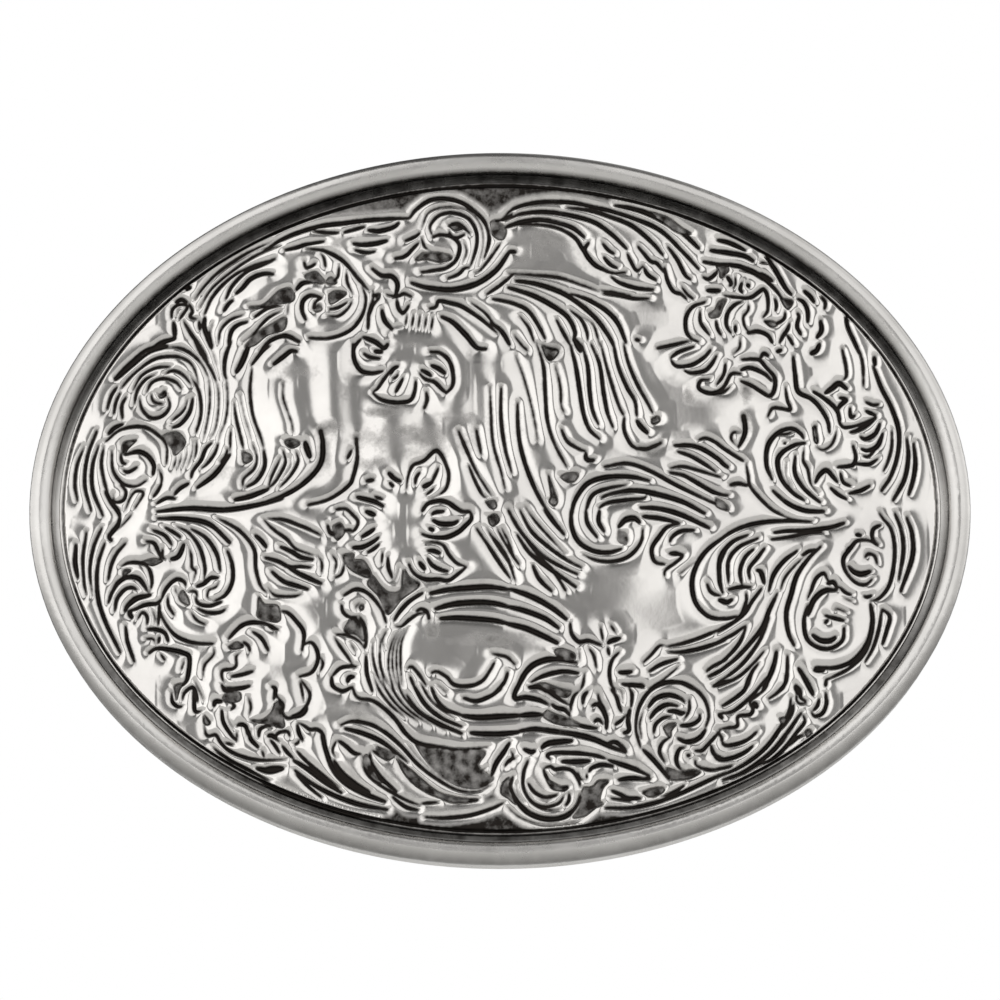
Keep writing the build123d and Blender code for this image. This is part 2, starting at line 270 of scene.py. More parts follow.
# upper right: flower of short curled petals under a bent leaf
cut((20.6, 26), (22, 25.8), (24.2, 25.6), (26.2, 24.8), (27.8, 23.4), (28.8, 22.1), w=0.5)
cut((22.1, 28.3), (23.4, 28), (25, 27.2), w=0.5)
cut((21.4, 27.2), (23.2, 27), (24.8, 26.7), (25.8, 26.1), w=0.55)
cut((27, 26.7), (28, 25.2), (29, 23.4), (29.7, 22.6), w=0.5)
cut((26.4, 26), (27.3, 25.9), w=0.25)
pit((28.5, 22.3), (29.2, 22.2), (29.8, 22), (29.3, 21.2), (28.9, 21.6))
cut((20.6, 24.4), (21.2, 24.2), (22, 24.9), (22.2, 25.6), w=0.4)
pit((22, 25.6), (22.9, 25.8), (23.2, 25.2), (22.8, 24.6), (22.4, 24.4), (22.3, 25.1))
cut((23, 24.6), (23.5, 23.8), (23.3, 23.5), w=0.45)
cut((23.9, 24.5), (23.9, 23.6), (23.6, 23.2), w=0.3)
cut((24.3, 25.2), (25.6, 24.9), (26.8, 24.1), w=0.3)
cut((26.4, 24.9), (27.2, 24.4), (27.8, 24), w=0.5)
cut((21, 23), (22.4, 23), w=0.5)
cut((24.6, 23.9), (24.4, 23.2), (24.7, 22.7), w=0.4)
cut((25.1, 23.7), (25.3, 23.4), w=0.4)
cut((22.6, 22.5), (24.2, 22.3), (25.4, 22.3), (26.3, 22.9), (26.8, 23.2), (27.2, 22.4), (27.2, 21),
    (26.7, 20.2), w=0.42)
cut((24.8, 22), (23.8, 21.5), (23.1, 20.6), (23, 19.4), (23.5, 18.5), w=0.42)
cut((23.9, 19.4), (23.9, 18.6), w=0.36)
cut((25.2, 22), (25.2, 21), (24.7, 20.2), (24.9, 19.2), (25.4, 18.6), w=0.26)
cut((25.1, 18.6), (26.2, 18.8), (27.2, 18.4), (27.7, 17.6), w=0.45)
cut((24.4, 18), (24.3, 17), (23.6, 16.3), w=0.25, d=0.2)
cut((27.9, 22.4), (28.1, 21.6), (28, 20.9), w=0.36)
cut((29, 21), (28.9, 20.2), (28.2, 19.7), (27.4, 19.5), w=0.34)
pit((26.8, 19.9), (27.6, 19.9), (28.2, 19.6), (27.6, 19.3))
cut((29.5, 19.8), (29.2, 19), (28.8, 18.4), (28.4, 17.6), w=0.42)
cut((29.1, 18.6), (29.5, 18), (29.8, 17.4), w=0.36)
cut((30.2, 22.3), (30.9, 21.9), (31.3, 21), (31.3, 19.8), w=0.45)
cut((30.9, 23.1), (31.5, 22.6), (32, 21.9), w=0.45)
cut((32.6, 22.6), (33.1, 21.9), (33, 21.2), w=0.3)
cut((30.2, 20.8), (30.4, 20.4), (30.2, 19.4), (30.6, 18.5), w=0.4)
cut((32.6, 20), (32.7, 19), (32.2, 18.2), w=0.5)
cut((32.5, 17.6), (32.2, 16.9), (31.7, 16.5), w=0.5)
cut((35.2, 20.6), (35.4, 19.4), (36, 18), (36.6, 16.6), w=0.42)
# left: two spirals, their outer lines and the long leaf beside them
cut((-42.3, 7), (-43.1, 5), (-43.3, 3), (-43, 1.3))
cut((-41, 8.6), (-42, 6), (-42.3, 3), (-41.6, 0.2), w=0.4)
cut((-40.8, 7.2), (-41.5, 5), (-41.5, 2.5), (-40.4, -0.3), w=0.4)
cut((-40.3, 7), (-40.6, 5.2), (-40.3, 3.3), (-39.9, 2))
cut((-40.2, 2.3), (-39.6, 1.2), (-38.9, 0.2), (-38.7, -0.4), w=0.5)
cut((-39.9, 8.2), (-39.2, 8.9), (-38.3, 9.3), w=0.5)
cut((-40.2, 7.4), (-38.6, 8.7), (-36.4, 9), (-34.9, 8.2), (-33.9, 6.9), (-33.9, 5), w=0.36)
pit((-37, 7.6), (-38.2, 7.4), (-38.5, 6.6), (-38.2, 6.1), (-37.8, 6.8))
cut((-38.2, 6.1), (-36.8, 6.4), (-35.8, 5.9), (-35.2, 4.9), (-35.3, 3.9), w=0.5)
cut((-38.6, 6.4), (-38.5, 5.4), (-38, 5.1))
cut((-38.4, 4.5), (-37.8, 4.3), (-36.9, 4.8))
cut((-39.5, 6.5), (-39.4, 4.5), (-38.4, 3.1), (-37, 2.8), (-35.9, 3.4), w=0.32)
cut((-39.4, 2), (-39.2, 1.2), (-38.3, 1.4), (-38.1, 2.3), (-38.7, 3), w=0.36)
cut((-38.2, 0.2), (-37.6, 1.7), (-37, 2.3), (-36.3, 2), (-37.2, 0.4), w=0.3)
cut((-34.4, 3), (-34.9, 2.1), (-35.3, 1.6))
cut((-34.8, 4.7), (-34.4, 3.6), (-34.6, 2.4), w=0.25)
cut((-36.7, 12), (-36.4, 10.8), (-35.5, 9.9), (-34.3, 10.1), (-33.6, 11.1), (-33.9, 12.3), w=0.36)
cut((-36, 12.5), (-35.4, 13.6), (-34.2, 14), (-33, 13.6), (-32.3, 12.8))
cut((-35.5, 12.4), (-35.2, 11.6), (-34.1, 11.3), w=0.3)
pit((-34.9, 12.5), (-34.5, 12), (-34, 12.2), (-34.1, 12.7), (-34.6, 12.3))
cut((-37.2, 11.3), (-36.9, 12.8), (-36.1, 13.9), (-34.9, 14.5))
cut((-34.2, 14.4), (-33.2, 14.8), (-32.2, 14.3), (-31.3, 13.2))
cut((-37.4, 12.7), (-36.5, 14.3), (-35, 15.1), (-33.4, 15.2))
cut((-38.7, 12.9), (-37.2, 14.6), (-35.2, 16), (-33.2, 16.3), (-31.9, 15.9), (-31.1, 15),
    (-30.6, 13.2))
cut((-39.2, 14), (-37.6, 15.5), (-35.8, 16.9), (-33.8, 17.4), w=0.75)
cut((-34.3, 17.2), (-32.8, 17.2), (-31.5, 16.6), (-30.3, 15.4), (-29.6, 14))
cut((-31.5, 14.3), (-30.6, 12.5), (-30.4, 10.3), (-30.9, 8.2))
cut((-31.7, 11.8), (-32.2, 10.6), (-33.4, 9.5), w=0.3)
cut((-31.2, 12), (-31.6, 10.4), (-32.5, 9.2), (-33.4, 8.8), w=0.45)
cut((-40, 10.8), (-39.6, 12.2), (-38.9, 13.3))
cut((-39.3, 10.3), (-39.1, 11.6), (-38.6, 12.7))
cut((-38.4, 9.7), (-38.5, 11.2), (-38, 12.2))
pit((-34.4, 8), (-32.9, 8.4), (-32, 7.2), (-33, 6), (-33.4, 6.7))
fan([(-31.2, 7.4), (-31.3, 6.2), (-31.8, 4.6)], [(-32.9, 6), (-33, 5.3), (-33.2, 4.6)], 4, w=0.25)
cut((-31.1, 17.8), (-30.4, 16.5), (-29.7, 15.4), (-29.2, 14.5), (-28.8, 13.5), w=0.36)
cut((-28.8, 13.5), (-28.6, 12.4), (-28.6, 10.8), (-28.8, 9.2), (-29.1, 8.2), (-29.5, 7.6),
    w=0.28, d=0.2)
cut((-29.6, 14.1), (-29.5, 12.9), (-29.5, 11.4), (-29.7, 9.8), (-30, 8.2), (-30.2, 7.4),
    w=0.28, d=0.2)
cut((-27.3, 17.8), (-27.8, 16.5), (-28, 15.4), (-28, 14.5), (-27.8, 13.8), w=0.4)
cut((-27.8, 13.8), (-27.7, 12.4), (-27.7, 10.8), (-28, 9.2), (-28.4, 8.2), (-28.6, 7.4),
    w=0.28, d=0.2)
cut((-29.6, 17.5), (-29.1, 16.4), (-28.7, 15), (-28.4, 13.7), w=0.2, d=0.15)
cut((-26.4, 12), (-25.9, 9.8), (-25.2, 7.5), w=0.22, d=0.15)
cut((-27.3, 8.6), (-27.4, 7.6), (-27.4, 6.2), w=0.25)
cut((-31.1, 5.4), (-30.9, 6.3), (-30.8, 7.5), w=0.28)
cut((-30.4, 4.5), (-29.7, 5.1), (-29, 6.1), (-28.6, 7.2), w=0.32)
cut((-28.5, 5.1), (-27.9, 5.8), (-27.7, 6.6), w=0.32)
pit((-26.2, 6.3), (-25.4, 5.9), (-25.2, 5.4), (-26, 5.1))
cut((-29.2, 7.3), (-29.9, 6.6), (-30.4, 5.4), (-31.2, 4.3), (-31.4, 3.5), w=0.4)
cut((-27.4, 6), (-28, 5.2), (-29.1, 3.8), (-30.8, 2.5), w=0.5)
cut((-31.6, 3), (-32.6, 2.4), (-33.2, 1.7), w=0.4)
cut((-27, 11.4), (-26.9, 10.3), (-26.7, 9.2), (-26.3, 7.6), (-26, 6.3), w=0.32)
cut((-25.2, 15), (-25.4, 12.5), (-25.1, 10), (-24.4, 8), (-24, 6.6), w=0.3)
cut((-25.3, 15.2), (-24.2, 16.6), (-23.2, 17.4))
cut((-25.5, 17.4), (-26.2, 15.6), (-26.8, 14.5), w=0.6)
cut((-25.2, 7.2), (-24.7, 5.6), (-25, 4.4), (-26, 3.4), (-26.1, 2.5), w=0.28)
cut((-24, 6.4), (-23.9, 4.7), (-24.7, 3.2), (-25.8, 2.5), w=0.4)
cut((-22.2, 5.6), (-23.1, 3.8), (-23.6, 2.3), w=0.3)
cut((-27, 1.2), (-25.3, 1.6), (-23.5, 2.3), w=0.55)
cut((-35, 0.9), (-33.9, 1.5), (-32.9, 1.4), w=0.4)
cut((-34.9, 0.1), (-31.5, 0.4), (-28, 0.2), (-25, 0.6), (-22, 1.3), w=0.55)
# upper left of the middle: flower with open petals, folds
cut((-23, 15.3), (-22, 16.1), (-21.2, 16.7), (-20.6, 16.6), w=0.5)
cut((-22, 13.2), (-22, 11.8), (-21.5, 10.2), (-21.1, 9), (-21, 8), w=0.24, d=0.2)
pit((-21.9, 7.3), (-21.2, 7.5), (-20.3, 7.1), (-20.9, 6.6), (-21.6, 6.8))
cut((-19.8, 7.2), (-19.6, 6.5), (-19.3, 5.6), w=0.6)
cut((-22, 6.3), (-21.8, 5), (-22.6, 3.4), (-23.4, 2.4), w=0.36)
cut((-20.8, 6.4), (-20.5, 5.2), (-21.2, 3.8), (-22.4, 2.4), w=0.32)
cut((-21.3, 5.6), (-21.3, 4.6), (-22.2, 3.2), w=0.22)
cut((-18.2, 8.2), (-18, 7), (-18.2, 5), (-19.6, 3.2), (-21.6, 1.8), (-24, 0.9), w=0.5)
cut((-14.6, 7.5), (-14.5, 5.5), (-14.9, 3.6), (-15.4, 2.6), (-17.2, 1.3), (-19.5, 0.6), w=0.36)
cut((-15, 6.4), (-15.5, 5.4), w=0.3)
cut((-13.9, 16.4), (-13.2, 16), (-12.1, 15.8), w=0.4)
cut((-14.9, 17.4), (-14.8, 15.8), (-14.1, 14.6), (-12.9, 14.3), (-11.8, 14.5), w=0.45)
cut((-12.8, 16.6), (-11.9, 16.5), w=0.5)
cut((-12.9, 12.3), (-12.4, 12.7), (-11.8, 13.6), (-11.2, 14.4), (-10.8, 14.9), w=0.36)
cut((-12.9, 12.2), (-12, 11.5), (-10.6, 11.2), (-9.2, 11.4), (-8.7, 12.2), (-8.5, 13.5), w=0.42)
cut((-11.1, 14.1), (-10.8, 14.7), (-10.3, 15), w=0.4)
cut((-11, 13.6), (-10.5, 13.9), (-10.3, 14.3), w=0.3)
cut((-10.6, 12.2), (-10.2, 13), (-9.8, 13.8), w=0.36)
cut((-7.1, 16.5), (-6.1, 16.4), (-5.2, 15.6), (-4.8, 14.4), (-4.8, 13), (-5.5, 12.1), w=0.42)
cut((-7, 15.1), (-6.3, 14.8), (-5.5, 14.2), w=0.5)
cut((-8, 14.6), (-7.4, 14.3), (-6.9, 13.9), w=0.5)
cut((-8.2, 14.3), (-7.6, 13.7), (-6.7, 13.4), (-5.8, 12.5), (-5.4, 12.2), w=0.42)
cut((-7.5, 12.3), (-7.4, 11.5), (-7.7, 10.6), w=0.4, d=0.2)
cut((-1, 12.7), (-0.9, 10), (-0.7, 7), (0.1, 4), (0.5, 2.2), w=0.26)
cut((0.1, 12.7), (0.1, 9.5), (0.5, 6.5), (1.2, 3.8), w=0.36)
cut((-4.2, 8.2), (-3.3, 6), (-2.2, 3.6), (-0.7, 1.2), w=0.32)
cut((-3.2, 4.7), (-2.6, 3.2), (-1.8, 1.6), (-1.2, 1.2), w=0.36)
cut((-2.4, 8.3), (-2.1, 6.8), (-1.9, 5.8), w=0.3, d=0.2)
pit((-1.5, 0.9), (-0.6, 1), (-0.4, 0.3), (-0.9, 0.2))
pit((-1.2, -0.7), (-0.5, -0.4), (-0.1, -1), (-0.6, -1.6), (-1, -1.4))
# lower flower, upper half
cut((-9.5, 2.2), (-9.3, 3.6), (-8.8, 4.7), (-7.7, 5.2), (-6.6, 6.2), (-6, 5.8), (-5.5, 4.8),
    (-5.2, 3.6), (-5.5, 2.2), (-6.4, 1.5), (-7.4, 1.1), w=0.34)
cut((-6.2, 4.5), (-6.6, 3.6), (-7.1, 2.7), (-7.8, 2.2), w=0.32)
cut((-8.1, 4), (-8.5, 3.4), (-8.6, 2.7), w=0.32)
cut((-7.9, 2.4), (-7.4, 2.7), (-6.8, 2.9), w=0.4)
cut((-7.6, 1.5), (-7, 2), (-6.6, 2.4), w=0.3)
cut((-7.9, -0.1), (-7.3, 0.7), (-6.2, 1), (-5.3, 0.8), (-4.6, 0.3), (-3.9, -0.1), (-3, -0.2), w=0.5)
cut((-7, -0.5), (-6.5, -0.2), (-5.6, -0.1), w=0.4)
cut((-11.3, 3.9), (-10.7, 3.3), (-10, 3), w=0.5)
cut((-11.2, 2.9), (-10.8, 2.5), w=0.4)
cut((-14.5, 1.4), (-13.6, 1.2), (-12.6, 0.9), (-11.8, 0.4), w=0.5)
cut((-12.8, 1.5), (-12.3, 1.3), (-11.8, 1.1), w=0.36)
cut((-13.6, -0.1), (-13.1, -0.3), (-12.7, -0.5), w=0.5)
cut((-16.7, 0.1), (-15.7, 0.2), (-14.9, -0.5), (-14.4, -1.2), (-14.8, -2.1), (-15.6, -2.2), w=0.32)
cut((-13.6, 3.1), (-12.8, 3.2), w=0.4, d=0.2)
# middle: long folds that fall from the upper edge, and the leaf to their right
cut((1.8, 11.1), (1.8, 9), (2.1, 6.5), (2.9, 3.8), (4, 1.3), (5.6, -1.3), (6.4, -2.5), w=0.4)
cut((1.6, 16), (2.4, 13.8), (3, 11.6), (3.5, 9.4), (3.8, 7.4), w=0.25, d=0.16)
cut((3.7, 17.4), (4.4, 15), (4.6, 12), (4.8, 9.4), (5.5, 7), (6.9, 4.2), w=0.36)
cut((5.6, 15), (6.1, 13), (6.2, 11), (6.5, 10.2), w=0.3, d=0.14)
pit((4.9, 3.6), (5.2, 1.6), (5, 0.9), (5.5, 0.5), (5.8, 1), (5.4, 2.2))
pit((6.1, 3.5), (6.9, 3.9), (7.9, 3.8), (7.6, 3.1), (6.8, 3))
cut((7.1, 17.4), (7.7, 15), (8.1, 12.4), (8.5, 10), (9.1, 8.4), (10.1, 7.4), w=0.45)
cut((8.3, 17.4), (8.9, 15), (9.1, 12.4), (9.4, 10.4), (10, 8.9), w=0.42)
cut((9.2, 17.4), (10.1, 15.2), (10.5, 12.4), (10.9, 10.2), (11.5, 8.6), w=0.42)
cut((10.2, 17.4), (10.8, 15), (11.5, 12.6), (12.1, 10.8), (12.6, 9.8), w=0.34)
cut((11.5, 17.4), (12, 15), (12.9, 12.8), (13.7, 11.4), (13.9, 9.8), w=0.4)
cut((12.5, 17.4), (13, 15.4), (13.9, 13.2), (15, 11.2), (15.6, 10), w=0.34)
cut((13.9, 9.4), (14.3, 8.8), (15, 8.1), w=0.55)
pit((15.4, 9.6), (16, 9.9), (16.2, 9.4), (15.5, 9.1))
cut((12.6, 9.7), (12.6, 8.4), (13.2, 7), (13.9, 6.4), w=0.36)
cut((13.7, 6.5), (14.8, 6.4), (15.6, 6.7), (16.4, 7.1), w=0.3, d=0.18)
cut((6.2, 8.4), (6.8, 7.2), (7.8, 6.5), (8.7, 6.1), w=0.4, d=0.24)
cut((8.7, 6), (8.8, 5.3), (9.6, 5.2), w=0.5, d=0.24)
cut((10.5, 4.5), (12.9, 4.9), (15.3, 4.1), (18.2, 2.5), (22.6, 0.4), w=0.42)
cut((7.2, -0.8), (7.6, 1), (8.9, 2.8), (11, 3.5), (13.4, 3.5), (15.2, 3.1), w=0.5)
cut((8.7, 0), (9.4, 1.6), (10.9, 2.3), (13, 2.7), w=0.42)
cut((10.2, 1.3), (11.4, 1.8), (13.6, 2.1), (16, 1.7), (18.6, 0.9), (20.8, -0.3), w=0.55)
cut((10, 0.2), (10.9, 0.8), (12.8, 1.1), (14.6, 1.3), (14.9, 1.7), w=0.42)
cut((17.2, 4.4), (18.6, 4.6), (20.6, 4.1), (22.5, 3.5), w=0.34)
cut((17.1, 4), (18.6, 3.7), (20.2, 2.8), (21.8, 1.9), (23.2, 1.6), w=0.45)
cut((17.7, 6.8), (19.6, 6.8), (21.2, 6.1), (22.9, 4.8), w=0.5)
cut((18, 6.2), (19.4, 5.7), (20.9, 4.8), (22, 4), w=0.42)
cut((20, 7.3), (20.9, 7.6), (22, 7.1), (23, 6.4), w=0.34)
cut((14.2, 0.3), (16.2, 0.2), (18.6, -0.5), (21.3, -1.8), w=0.55)
cut((14.4, -0.6), (16.3, -0.8), (18.2, -1.3), w=0.5)
cut((17.3, 15.9), (18.2, 16.6), (19.8, 17.2), w=0.4)
cut((17.3, 15.8), (17.9, 15.1), (19.4, 15.2), (20.7, 16), (21.4, 16.8), w=0.42)
cut((18.6, 14.7), (19.4, 14.4), (20.7, 14.6), (21.4, 15.2), (22, 16.2), w=0.42)
cut((21.3, 13.7), (20.4, 13.6), (20.2, 12.8), (21.2, 12.3), (22.6, 12.4), (23.4, 13), w=0.42)
cut((22.9, 15.4), (22.7, 14.2), (21.9, 13), w=0.36)
# right, above the middle: open flower of curved petals, outer lines
cut((20.4, 12.6), (21.6, 12.3), (22.7, 12.9), (23.5, 14.3), (24.6, 14.3), w=0.42)
cut((24.4, 14.7), (25.4, 15), (26.9, 14.4), (27.7, 13.6), w=0.5)
cut((24.5, 15.8), (25.6, 15.9), (26.4, 15.8), (27, 15.1), (27.9, 14), (27.9, 12.8), (27.4, 12.1),
    (26.4, 12.6), (25.6, 13.1), (24.4, 13.6), w=0.45)
cut((26.4, 15.9), (26.8, 16.5), (27.3, 16.2), w=0.4)
cut((28.1, 16.7), (28.6, 16.9), w=0.4)
cut((24.7, 9.9), (24.9, 8.8), (24.8, 7.9), (24.2, 6.6), w=0.45)
cut((24.5, 8.2), (23.7, 8.2), (23.5, 7.5), (24.2, 6.6), w=0.25)
cut((22, 7), (23.4, 6.1), (24.8, 5.2), w=0.4)
cut((22, 5.7), (22.6, 5), (23.2, 4.5), w=0.45)
cut((25, 5), (25.2, 3.8), (25.5, 2.5), (27.2, 0.6), (28.6, -0.3), (30.4, -1), w=0.34)
cut((23.3, 2.7), (24.2, 2.9), (25.2, 2.7), w=0.4)
pit((21.9, 1.4), (22.9, 0.8), (23.2, 0.1), (22, 0.5), d=0.3)
cut((27.2, 9.9), (27.7, 10.8), (28.6, 10.8), (29.5, 10.7), (29.2, 11.7), (29, 13), w=0.36)
cut((29.8, 16.2), (30, 14.4), (30.3, 12.6), (31.6, 11.9), (32.5, 11), (33.3, 9.6), (33.5, 8.3),
    w=0.5)
cut((31.8, 12.6), (33, 11.9), (34.2, 10.8), (34.6, 9.6), w=0.5)
cut((34.3, 10.3), (34.7, 9.1), (35.4, 8.9), (36.8, 9.3), (38.2, 10.1), w=0.36)
cut((33, 12.4), (33.8, 13), (34.5, 13.5), (35.3, 12.9), w=0.6)
cut((34.5, 12), (35.2, 11.8), (34.6, 11.2), (34.3, 10.6), w=0.5)
cut((35.6, 11), (35.7, 10), (36.2, 10.2), w=0.36)
cut((37.2, 10.7), (37.8, 10.4), (38.3, 10.2), w=0.4)
cut((37.2, 11.6), (38, 11.3), (38.6, 11.4), w=0.32)
cut((38.3, 10), (37.3, 9.2), (36.3, 8.6), (35.6, 8.4), w=0.55)
cut((38.7, 9.4), (38.2, 8.3), (37.2, 7.7), (36.6, 8), w=0.5)
cut((39, 8.4), (38.4, 7), (37.4, 6.5), (36.7, 6.7), w=0.5)
cut((38.3, 6.8), (37.5, 5.9), (36.8, 6), w=0.36)
cut((38.5, 5.7), (37.6, 5.1), (36.6, 5.1), (35.9, 5.2), w=0.36)
cut((34.2, 4.7), (35, 4.8), (35.9, 5), (36.2, 5.8), (35.9, 7), w=0.42)
cut((32, 3), (32.5, 3.9), (33.2, 4.4), (33.9, 3.7), (34.4, 3.1), w=0.5)
cut((34.6, 4.3), (34.9, 3.2), (35.8, 2.7), w=0.36)
cut((33.6, 2.6), (34.4, 1.9), (35.3, 1.4), w=0.4)
cut((35.4, 2), (36.6, 2.3), (37.6, 2.8), w=0.42)
cut((30.9, 6.7), (30.8, 5.4), (31.3, 4.4), (31.6, 3), (32.4, 1.9), w=0.3)
cut((34.3, 8.8), (33.8, 7.2), (32.9, 6.5), (32.1, 6.8), w=0.3, d=0.2)
pit((31.8, 8.8), (32.1, 8.9), (32.3, 7.3), (32, 7.4))
cut((27.7, 3.3), (27.1, 4.8), (27.2, 6.8), (28.2, 8.2), (29.6, 8.7), (30.5, 8.2), (30.9, 7.6),
    w=0.5)
cut((29.9, 8.4), (29, 8.1), (28, 8), w=0.3)
cut((28.8, 7.1), (29.1, 7.2), w=0.3)
cut((31.1, 7.2), (30, 7), (28.7, 6.2), (28.2, 5.2), (28.6, 3.5), (29.7, 2.1), (31, 1.2), w=0.5)
cut((30, 5.9), (30, 4), (31, 2.4), (32.6, 1), w=0.45)
cut((29.1, 5.2), (29.1, 3.7), (29.7, 2.4), w=0.28, d=0.2)
cut((27.7, 2.2), (29.3, 0.9), (31, 0.2), (33, 0.1), w=0.5)
cut((39.9, 8.8), (39.9, 7), (39.5, 5.4), (39, 4.3), w=0.36)
cut((38, 15.4), (38.8, 13.2), (39.9, 11), (40.6, 8.6), (40.5, 6.2), (39.8, 3.9), (38.8, 2.3),
    w=0.48)
cut((41.4, 8), (41.6, 6), (41.2, 3.6), (40, 1.3), w=0.48)
cut((42.1, 7.4), (42.3, 5.4), (42.1, 3.6), (41.6, 1.9), w=0.48)
cut((38.1, 16.3), (38.2, 15.4), w=0.4)
cut((36.4, 17.4), (36.9, 15.6), (37, 13.2), w=0.3, d=0.22)
cut((34.8, 17), (35.2, 15.2), (35.2, 14.2), (34.7, 13.7), w=0.4, d=0.2)
cut((31.6, 16.5), (32.1, 16.9), w=0.45)
# left, below the middle: large scroll, half-flower and outer lines
cut((-42.1, -2), (-42.5, -4.5), (-42.4, -7), (-42.1, -8.6), w=0.36)
cut((-40.5, -1.5), (-41.4, -3.5), (-41.8, -6), (-41.5, -8.7), w=0.36)
cut((-40.2, -3), (-41, -5.5), (-41, -8.5), (-40.2, -11.3), (-38.6, -14.7), w=0.42)
cut((-43.2, -3.2), (-43.3, -5), (-43, -6.8), w=0.5)
cut((-38.1, -3.2), (-39, -4.2), (-39.6, -5.5), (-39.9, -7.1))
cut((-38.7, -0.4), (-38.9, -1.2), (-39.8, -2.4), (-39.5, -2.9), w=0.5)
cut((-37.4, -0.1), (-38.2, -1), (-39.1, -1.9), w=0.22)
cut((-38.6, -5.6), (-37.7, -5.2), (-36.4, -5.3), (-35.7, -5.9), (-35.4, -7.2), (-35.7, -8.5),
    w=0.36)
pit((-36.4, -5.1), (-35.2, -4.8), (-34.3, -5), (-35.4, -5.5))
cut((-36, -3), (-35.2, -3.2), (-34.7, -4.2), (-34.5, -4.9), w=0.4)
cut((-34.3, -3.7), (-34.3, -4.6), (-33.9, -5), w=0.3)
cut((-39.6, -8.5), (-39, -7.4), (-38, -6.7), (-36.9, -6.8), (-36.2, -7.6), (-35.8, -8.4), w=0.5)
pit((-38.4, -6.6), (-38.3, -6), (-37.6, -6), (-38, -6.4))
cut((-39.9, -9.5), (-39.5, -8.3), (-38.8, -7.3))
cut((-39.2, -10.3), (-39, -9), (-38.2, -8), (-37.4, -7.8), (-36.8, -8.2), w=0.4)
cut((-38.2, -10.3), (-37.8, -9.6), (-36.9, -8.9), (-35.5, -8.6), w=0.6)
cut((-37.9, -10.3), (-37, -10), (-36, -9.6), (-34.9, -9.5), (-34.4, -9), w=0.45)
cut((-37.4, -11), (-37.7, -10.5), (-37.5, -10.2), w=0.5)
cut((-36.9, -11.2), (-36.4, -10.4), (-35.9, -10.9), (-35.9, -11.8))
cut((-35.5, -9.9), (-35.1, -11), (-35.2, -11.9), w=0.25)
cut((-34.6, -9.5), (-34.7, -10.8), (-34.8, -12), w=0.36)
cut((-35.9, -12.2), (-35, -12.2), (-34.1, -12.6), (-33.7, -13.6), w=0.45)
cut((-36, -13.2), (-35.3, -13.2), (-35, -13.9), w=0.25)
cut((-34.6, -12.9), (-34.8, -13.8))
cut((-35.7, -14.7), (-34.9, -14.2), (-33.3, -14.4), (-32.2, -14.7), (-31.6, -15.2), (-31.7, -17),
    (-32.1, -17.9), (-33, -18.4), w=0.5)
cut((-34.6, -14.7), (-34, -15.5), w=0.25)
cut((-32, -15.2), (-32.4, -16.6), w=0.25)
cut((-38.1, -11.8), (-37.9, -13.5), (-37.2, -15.6))
cut((-34.9, -0.6), (-32, -0.7), (-29.5, -1.3), (-27.4, -3.3), w=0.5)
cut((-28.8, -0.6), (-26.5, -2), (-25, -3.9), (-24.8, -6), (-24.3, -7.8), (-23.6, -8.6), w=0.36)
cut((-35.4, -1.8), (-34.1, -2.4), (-33.3, -3.5), w=0.36)
cut((-34.2, -1.5), (-33, -2.2), (-32.4, -2.7), w=0.36)
cut((-33, -1.4), (-31.6, -2.2), (-30.5, -3.8), (-30, -5.8), (-30.1, -7.3), w=0.36)
cut((-31.5, -1.7), (-29.9, -2.7), (-28.8, -4.4), (-28.4, -6.3), w=0.4)
cut((-33.5, -4.9), (-32.7, -4.6), (-32.1, -3.3), w=0.5)
cut((-31.8, -3.2), (-31.4, -4.5), (-31.3, -5.8), (-30.9, -6.2), (-31.2, -7.3), w=0.25)
cut((-30.9, -7.8), (-30.1, -7.5), (-29.4, -6.9), (-28.6, -6.9), w=0.45)
cut((-27.7, -4.1), (-27.2, -5.6), (-27.2, -7.3), (-27.9, -8.7), (-29.2, -9.4), w=0.4)
cut((-28.5, -7.3), (-28.9, -7.9), (-29.6, -8.2), (-29.7, -9), (-29, -9.4), w=0.25)
cut((-31, -8.9), (-30.6, -9.6), (-29.5, -9.8), (-28.2, -9.4), w=0.45)
cut((-30.9, -10), (-29.7, -10.5), (-28.5, -10.5), (-27.9, -10.2), w=0.4)
cut((-31.4, -10.5), (-30.8, -11.3), (-29.9, -11.8), w=0.25)
cut((-34.5, -9.2), (-33.9, -7.9), (-32.9, -7), (-32.1, -7.3), (-31.9, -8), w=0.4)
pit((-32.7, -8.6), (-32.2, -8.2), (-31.6, -9.4), (-31.8, -9.7), (-32.5, -9.2))
cut((-31.9, -8.3), (-31, -8.3), (-30.7, -9), w=0.3)
cut((-33.1, -7.8), (-32.8, -8.7), w=0.25)
cut((-33.8, -8.7), (-33.7, -9.8), (-33.1, -10.8), w=0.3)
cut((-34.8, -9.8), (-34.2, -11.3), (-33.2, -12.7), (-32, -13.4), (-30.8, -13.7), (-29.1, -13.8),
    w=0.36)
cut((-27.6, -13.3), (-26.5, -12.1), (-25.4, -11.6), (-23.8, -11.7), (-22.5, -12.4), w=0.45)
pit((-27.6, -14.1), (-26.8, -13.6), (-26.1, -13.9), (-26.3, -14.2), (-27.3, -14.3))
cut((-25.2, -12.5), (-24.2, -13.3), (-23.5, -14.6), w=0.36)
cut((-26.2, -13.5), (-25.6, -14), (-25.4, -14.6))
cut((-26.2, -14.6), (-26.8, -15.1), (-26.8, -16), (-27.2, -16.4), (-28.2, -16.6), (-28.2, -17.5),
    (-27.8, -18.1), w=0.3)
cut((-27.4, -17.2), (-26.2, -17), (-25.1, -16.7), w=0.36)
cut((-28, -18.3), (-26.7, -18.5), (-25.4, -18.2), w=0.45)
cut((-29.1, -14.2), (-29.1, -14.9), (-30, -16), (-30.2, -17.2), w=0.22)
